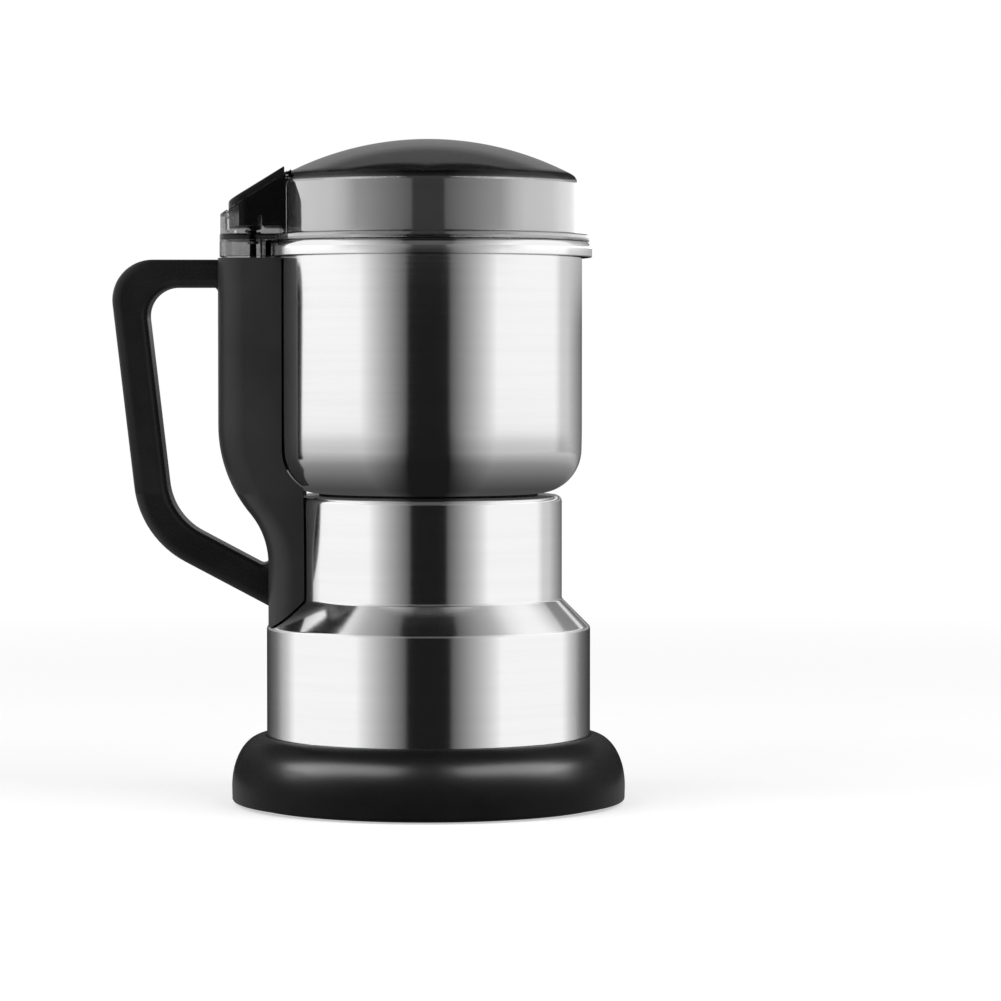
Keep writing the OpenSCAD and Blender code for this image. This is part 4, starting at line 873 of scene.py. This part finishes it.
def hang(name, finish, dark, glow=None, through=False):  # seen in gloss only, or through the lid too
    flag = bpy.context.object
    flag.name = name
    clear = addNode(finish, "BsdfTransparent")
    cloth = addNode(finish, "Emission", {"Strength": glow or studio["cloth"]})
    mix = addNode(finish, "MixShader", {0: dark, 1: clear.outputs[0], 2: cloth.outputs[0]})
    addNode(finish, "OutputMaterial", {"Surface": mix.outputs[0]})
    flag.data.materials.append(finish)
    flag.visible_camera = False
    flag.visible_diffuse = False
    flag.visible_shadow = False
    flag.visible_transmission = through


ground = {"size": 8, "shade": 0.55, "glow": 0.53, "near": 0.2, "far": 0.9}  # turns white from near to far


def makeFloor():
    startFresh()
    bpy.ops.mesh.primitive_plane_add(size=ground["size"])
    floor = bpy.context.object
    floor.name = "floorSheet"
    finish, place = newCloth("floorFinish")
    away = addNode(finish, "VectorMath", {0: place}, operation="LENGTH").outputs["Value"]
    far = addNode(finish, "MapRange", {
        "Value": away, "From Min": ground["near"], "From Max": ground["far"]}).outputs[0]
    near = addNode(finish, "AddShader", {
        0: addNode(finish, "BsdfDiffuse", {"Color": (*[ground["shade"]] * 3, 1)}).outputs[0],
        1: addNode(finish, "Emission", {"Color": (*[ground["glow"]] * 3, 1)}).outputs[0]})
    white = addNode(finish, "Emission", {"Color": (1, 1, 1, 1)})
    mix = addNode(finish, "MixShader", {0: far, 1: near.outputs[0], 2: white.outputs[0]})
    below = addNode(finish, "NewGeometry").outputs["Backfacing"]  # clear for a look at the underside
    clear = addNode(finish, "BsdfTransparent")
    sheet = addNode(finish, "MixShader", {0: below, 1: mix.outputs[0], 2: clear.outputs[0]})
    addNode(finish, "OutputMaterial", {"Surface": sheet.outputs[0]})
    floor.data.materials.append(finish)
    floor.visible_glossy = False


# a dark tunnel over the object: (sideways share of a direction, darkness), then by the degrees round
# from straight down, front below zero and back above, its glow and how many times narrower it is
tunnel = {"radius": 1.7, "long": 4.2,
          "across": [(0, 1), (0.25, 1), (0.28, 0.9), (0.79, 0)],
          "round": [(-152, 0.011), (-148, 0.1), (-103, 0.1), (-100, 0.011), (62, 0.011), (74, 0.24),
                    (96.3, 0.24), (96.7, 1), (99, 1), (99.5, 0.24), (122, 0.28), (131, 0.14), (142, 0.14),
                    (151, 0.011)],
          "narrow": [(-180, 1.5), (-130, 1), (90, 1), (124, 0.8), (139, 1.5), (151, 2), (168, 2),
                     (175, 1.5), (180, 1.5)]}


def makeTunnel():
    startFresh()
    bpy.ops.mesh.primitive_cylinder_add(
        vertices=studio["sides"], radius=tunnel["radius"], depth=tunnel["long"], end_fill_type="NOTHING",
        rotation=(0, quarterTurn, 0))
    finish, parts = newFlag("tunnel")
    turn = work(finish, "ARCTAN2", parts["Y"], work(finish, "MULTIPLY", parts["Z"], -1.0))
    narrow = strongLevels(finish, turn, inRadians(tunnel["narrow"]))
    across = work(finish, "MULTIPLY", work(finish, "ABSOLUTE", parts["X"]), narrow)
    dark = levels(finish, across, [
        (tunnel["radius"] * math.tan(math.asin(share)), level) for share, level in tunnel["across"]])
    glow = levels(finish, turn, inRadians(tunnel["round"]))
    hang("darkTunnel", finish, dark, glow, True)


# a ring that the lid's upright wall mirrors, as (degrees round from the front, glow)
band = {"radius": 0.5, "low": 0.1851, "high": 0.225,
        "glow": [(0, 0.08), (10.5, 0.08), (13, 0.24), (35, 0.44), (54, 0.63), (65, 1.05), (76, 1.29),
                 (105, 1.4), (120, 1.65)]}


def makeLidBand():
    finish, parts = makeRing("lidBand", band["radius"], band["low"], band["high"])
    turn = work(finish, "ARCTAN2", work(finish, "ABSOLUTE", parts["X"]),
                work(finish, "MULTIPLY", parts["Y"], -1.0))
    hang("lidBand", finish, 1.0, strongLevels(finish, turn, inRadians(band["glow"])))


# cloths that stand on the floor round the back, as (share of the way to the back, darkness)
backCloths = {"tallCloth": {"radius": 0.2, "high": 0.1735, "dark": [(0.14, 0), (0.28, 0.33), (0.97, 0.55)]},
              "lowCloth": {"radius": 0.19, "high": 0.0435, "dark": [(0.25, 0), (0.55, 0.6), (0.97, 0.85)]}}


def makeBackCloths():
    for name, cloth in backCloths.items():
        finish, parts = makeRing(name, cloth["radius"], 0, cloth["high"])
        stops = [(share * cloth["radius"], level) for share, level in cloth["dark"]]
        hang(name, finish, levels(finish, parts["Y"], stops))


# a disc at the height of the bowl's floor, as (distance in metres, glow), that ends towards the back
card = {"near": 0.0205, "end": [(0.35, 1), (0.75, 0)],
        "glow": [(0, 0.06), (0.039, 0.07), (0.05, 0.2), (0.075, 0.385), (0.132, 0.53), (0.4, 0.64),
                 (0.7, 0.88), (0.9, 1)]}


def makeCard():  # seen only from above, dark along the middle like the tunnel
    finish, parts = makeSheet("card", card["glow"][-1][0], bowlLow.z * mm)
    away = fromAxis(finish, parts)
    reach = work(finish, "MAXIMUM", work(finish, "SUBTRACT", away, card["near"]), mm)
    share = work(finish, "DIVIDE", work(finish, "ABSOLUTE", parts["X"]), reach)
    bright = work(finish, "SUBTRACT", 1.0, levels(finish, share, tunnel["across"]))
    glow = work(finish, "MULTIPLY", levels(finish, away, card["glow"]), bright)
    above = work(finish, "SUBTRACT", 1.0, addNode(finish, "NewGeometry").outputs["Backfacing"])
    ends = levels(finish, work(finish, "DIVIDE", parts["Y"], away), card["end"])
    hang("card", finish, work(finish, "MULTIPLY", above, ends),
         work(finish, "MAXIMUM", glow, studio["cloth"]))


# a sheet over the lid, as (distance towards the back, darkness), that bows towards the back at its sides
hood = {"high": 0.27, "radius": 0.085, "bow": 0.6,
        "dark": [(-0.03, 0), (-0.022, 1), (0.022, 1), (0.03, 0)]}


def makeHood():
    finish, parts = makeSheet("hood", hood["radius"], hood["high"])
    bow = work(finish, "MULTIPLY", work(finish, "ABSOLUTE", parts["X"]), hood["bow"])
    hang("hood", finish, levels(finish, work(finish, "SUBTRACT", parts["Y"], bow), hood["dark"]))


# a brim over the lid's rounded edge, as (distance from the axis, darkness)
brim = {"high": 0.19, "dark": [(0.0405, 0), (0.0425, 0.9), (0.0505, 0.9), (0.055, 0)]}


def makeBrim():
    finish, parts = makeSheet("brim", brim["dark"][-1][0], brim["high"])
    hang("brim", finish, levels(finish, fromAxis(finish, parts), brim["dark"]))


def makeWorld():
    world = bpy.data.worlds.new("studio")
    bpy.context.scene.world = world
    world.use_nodes = True
    back = world.node_tree.nodes["Background"]
    back.inputs["Color"].default_value = (1, 1, 1, 1)
    path = addNode(world, "LightPath").outputs
    seen = work(world, "MAXIMUM", path["Is Camera Ray"], path["Is Glossy Ray"])
    seen = work(world, "MAXIMUM", seen, path["Is Transmission Ray"])
    level = addNode(world, "MapRange", {"Value": seen, "To Min": studio["ambient"], "To Max": 1.0})
    world.node_tree.links.new(level.outputs[0], back.inputs["Strength"])


lamps = {"front": (0.25, -0.655, 0.713), "back": (0.915, 0.09, 0.395), "long": 1.5,
         "away": 1.5, "wide": 0.35, "bright": 5.6,
         "footAway": 1.4, "footWide": 0.42, "footBright": 78}  # strips for the foot's shine alone


def makeLamp(name, side, away, wide, bright):  # a strip lamp that runs back over one side
    front = Vector(lamps["front"]) * away
    back = Vector(lamps["back"]) * away
    front.x, back.x = front.x * side, back.x * side
    out = (front + back).normalized()
    across = out.cross(back - front).normalized()
    lamp = bpy.data.objects.new(name, bpy.data.lights.new(name, "AREA"))
    bpy.context.scene.collection.objects.link(lamp)
    lamp.data.shape = "RECTANGLE"
    lamp.data.size = lamps["long"]
    lamp.data.size_y = wide
    lamp.data.energy = bright * math.pi * lamps["long"] * wide
    lamp.matrix_world = Matrix((across.cross(out), across, out)).transposed().to_4x4()
    lamp.location = (front + back) / 2
    return lamp


def makeLamps():
    footOnly = bpy.data.collections.new("footOnly")
    footOnly.objects.link(bpy.data.objects["footMoulding"])
    for name, side in (("left", -1), ("right", 1)):
        fill = makeLamp(name + "Fill", side, lamps["away"], lamps["wide"], lamps["bright"])
        fill.visible_glossy = False
        gleam = makeLamp(name + "Gleam", side, lamps["footAway"], lamps["footWide"], lamps["footBright"])
        gleam.visible_diffuse = False
        gleam.light_linking.receiver_collection = footOnly


view = {"place": (0, -1.2, 0.133), "aim": (0.0216, 0, 0.0908), "lens": 143.9, "sensor": 36}


def makeCamera():
    camera = bpy.data.objects.new("photoCamera", bpy.data.cameras.new("photoCamera"))
    bpy.context.scene.collection.objects.link(camera)
    camera.location = view["place"]
    way = Vector(view["aim"]) - Vector(view["place"])
    camera.rotation_euler = way.to_track_quat("-Z", "Y").to_euler()
    camera.data.lens = view["lens"]
    camera.data.sensor_width = view["sensor"]
    bpy.context.scene.camera = camera


makeFloor()
makeTunnel()
makeLidBand()
makeBackCloths()
makeCard()
makeHood()
makeBrim()
makeWorld()
makeLamps()
makeCamera()
bpy.context.scene.view_settings.view_transform = "Standard"
print("stage set")


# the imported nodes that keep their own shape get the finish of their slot

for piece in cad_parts.values():
    for spot in piece.material_slots:
        spot.material = finishes[spot.material.name.split(".")[0]]
print("packed nodes dressed")
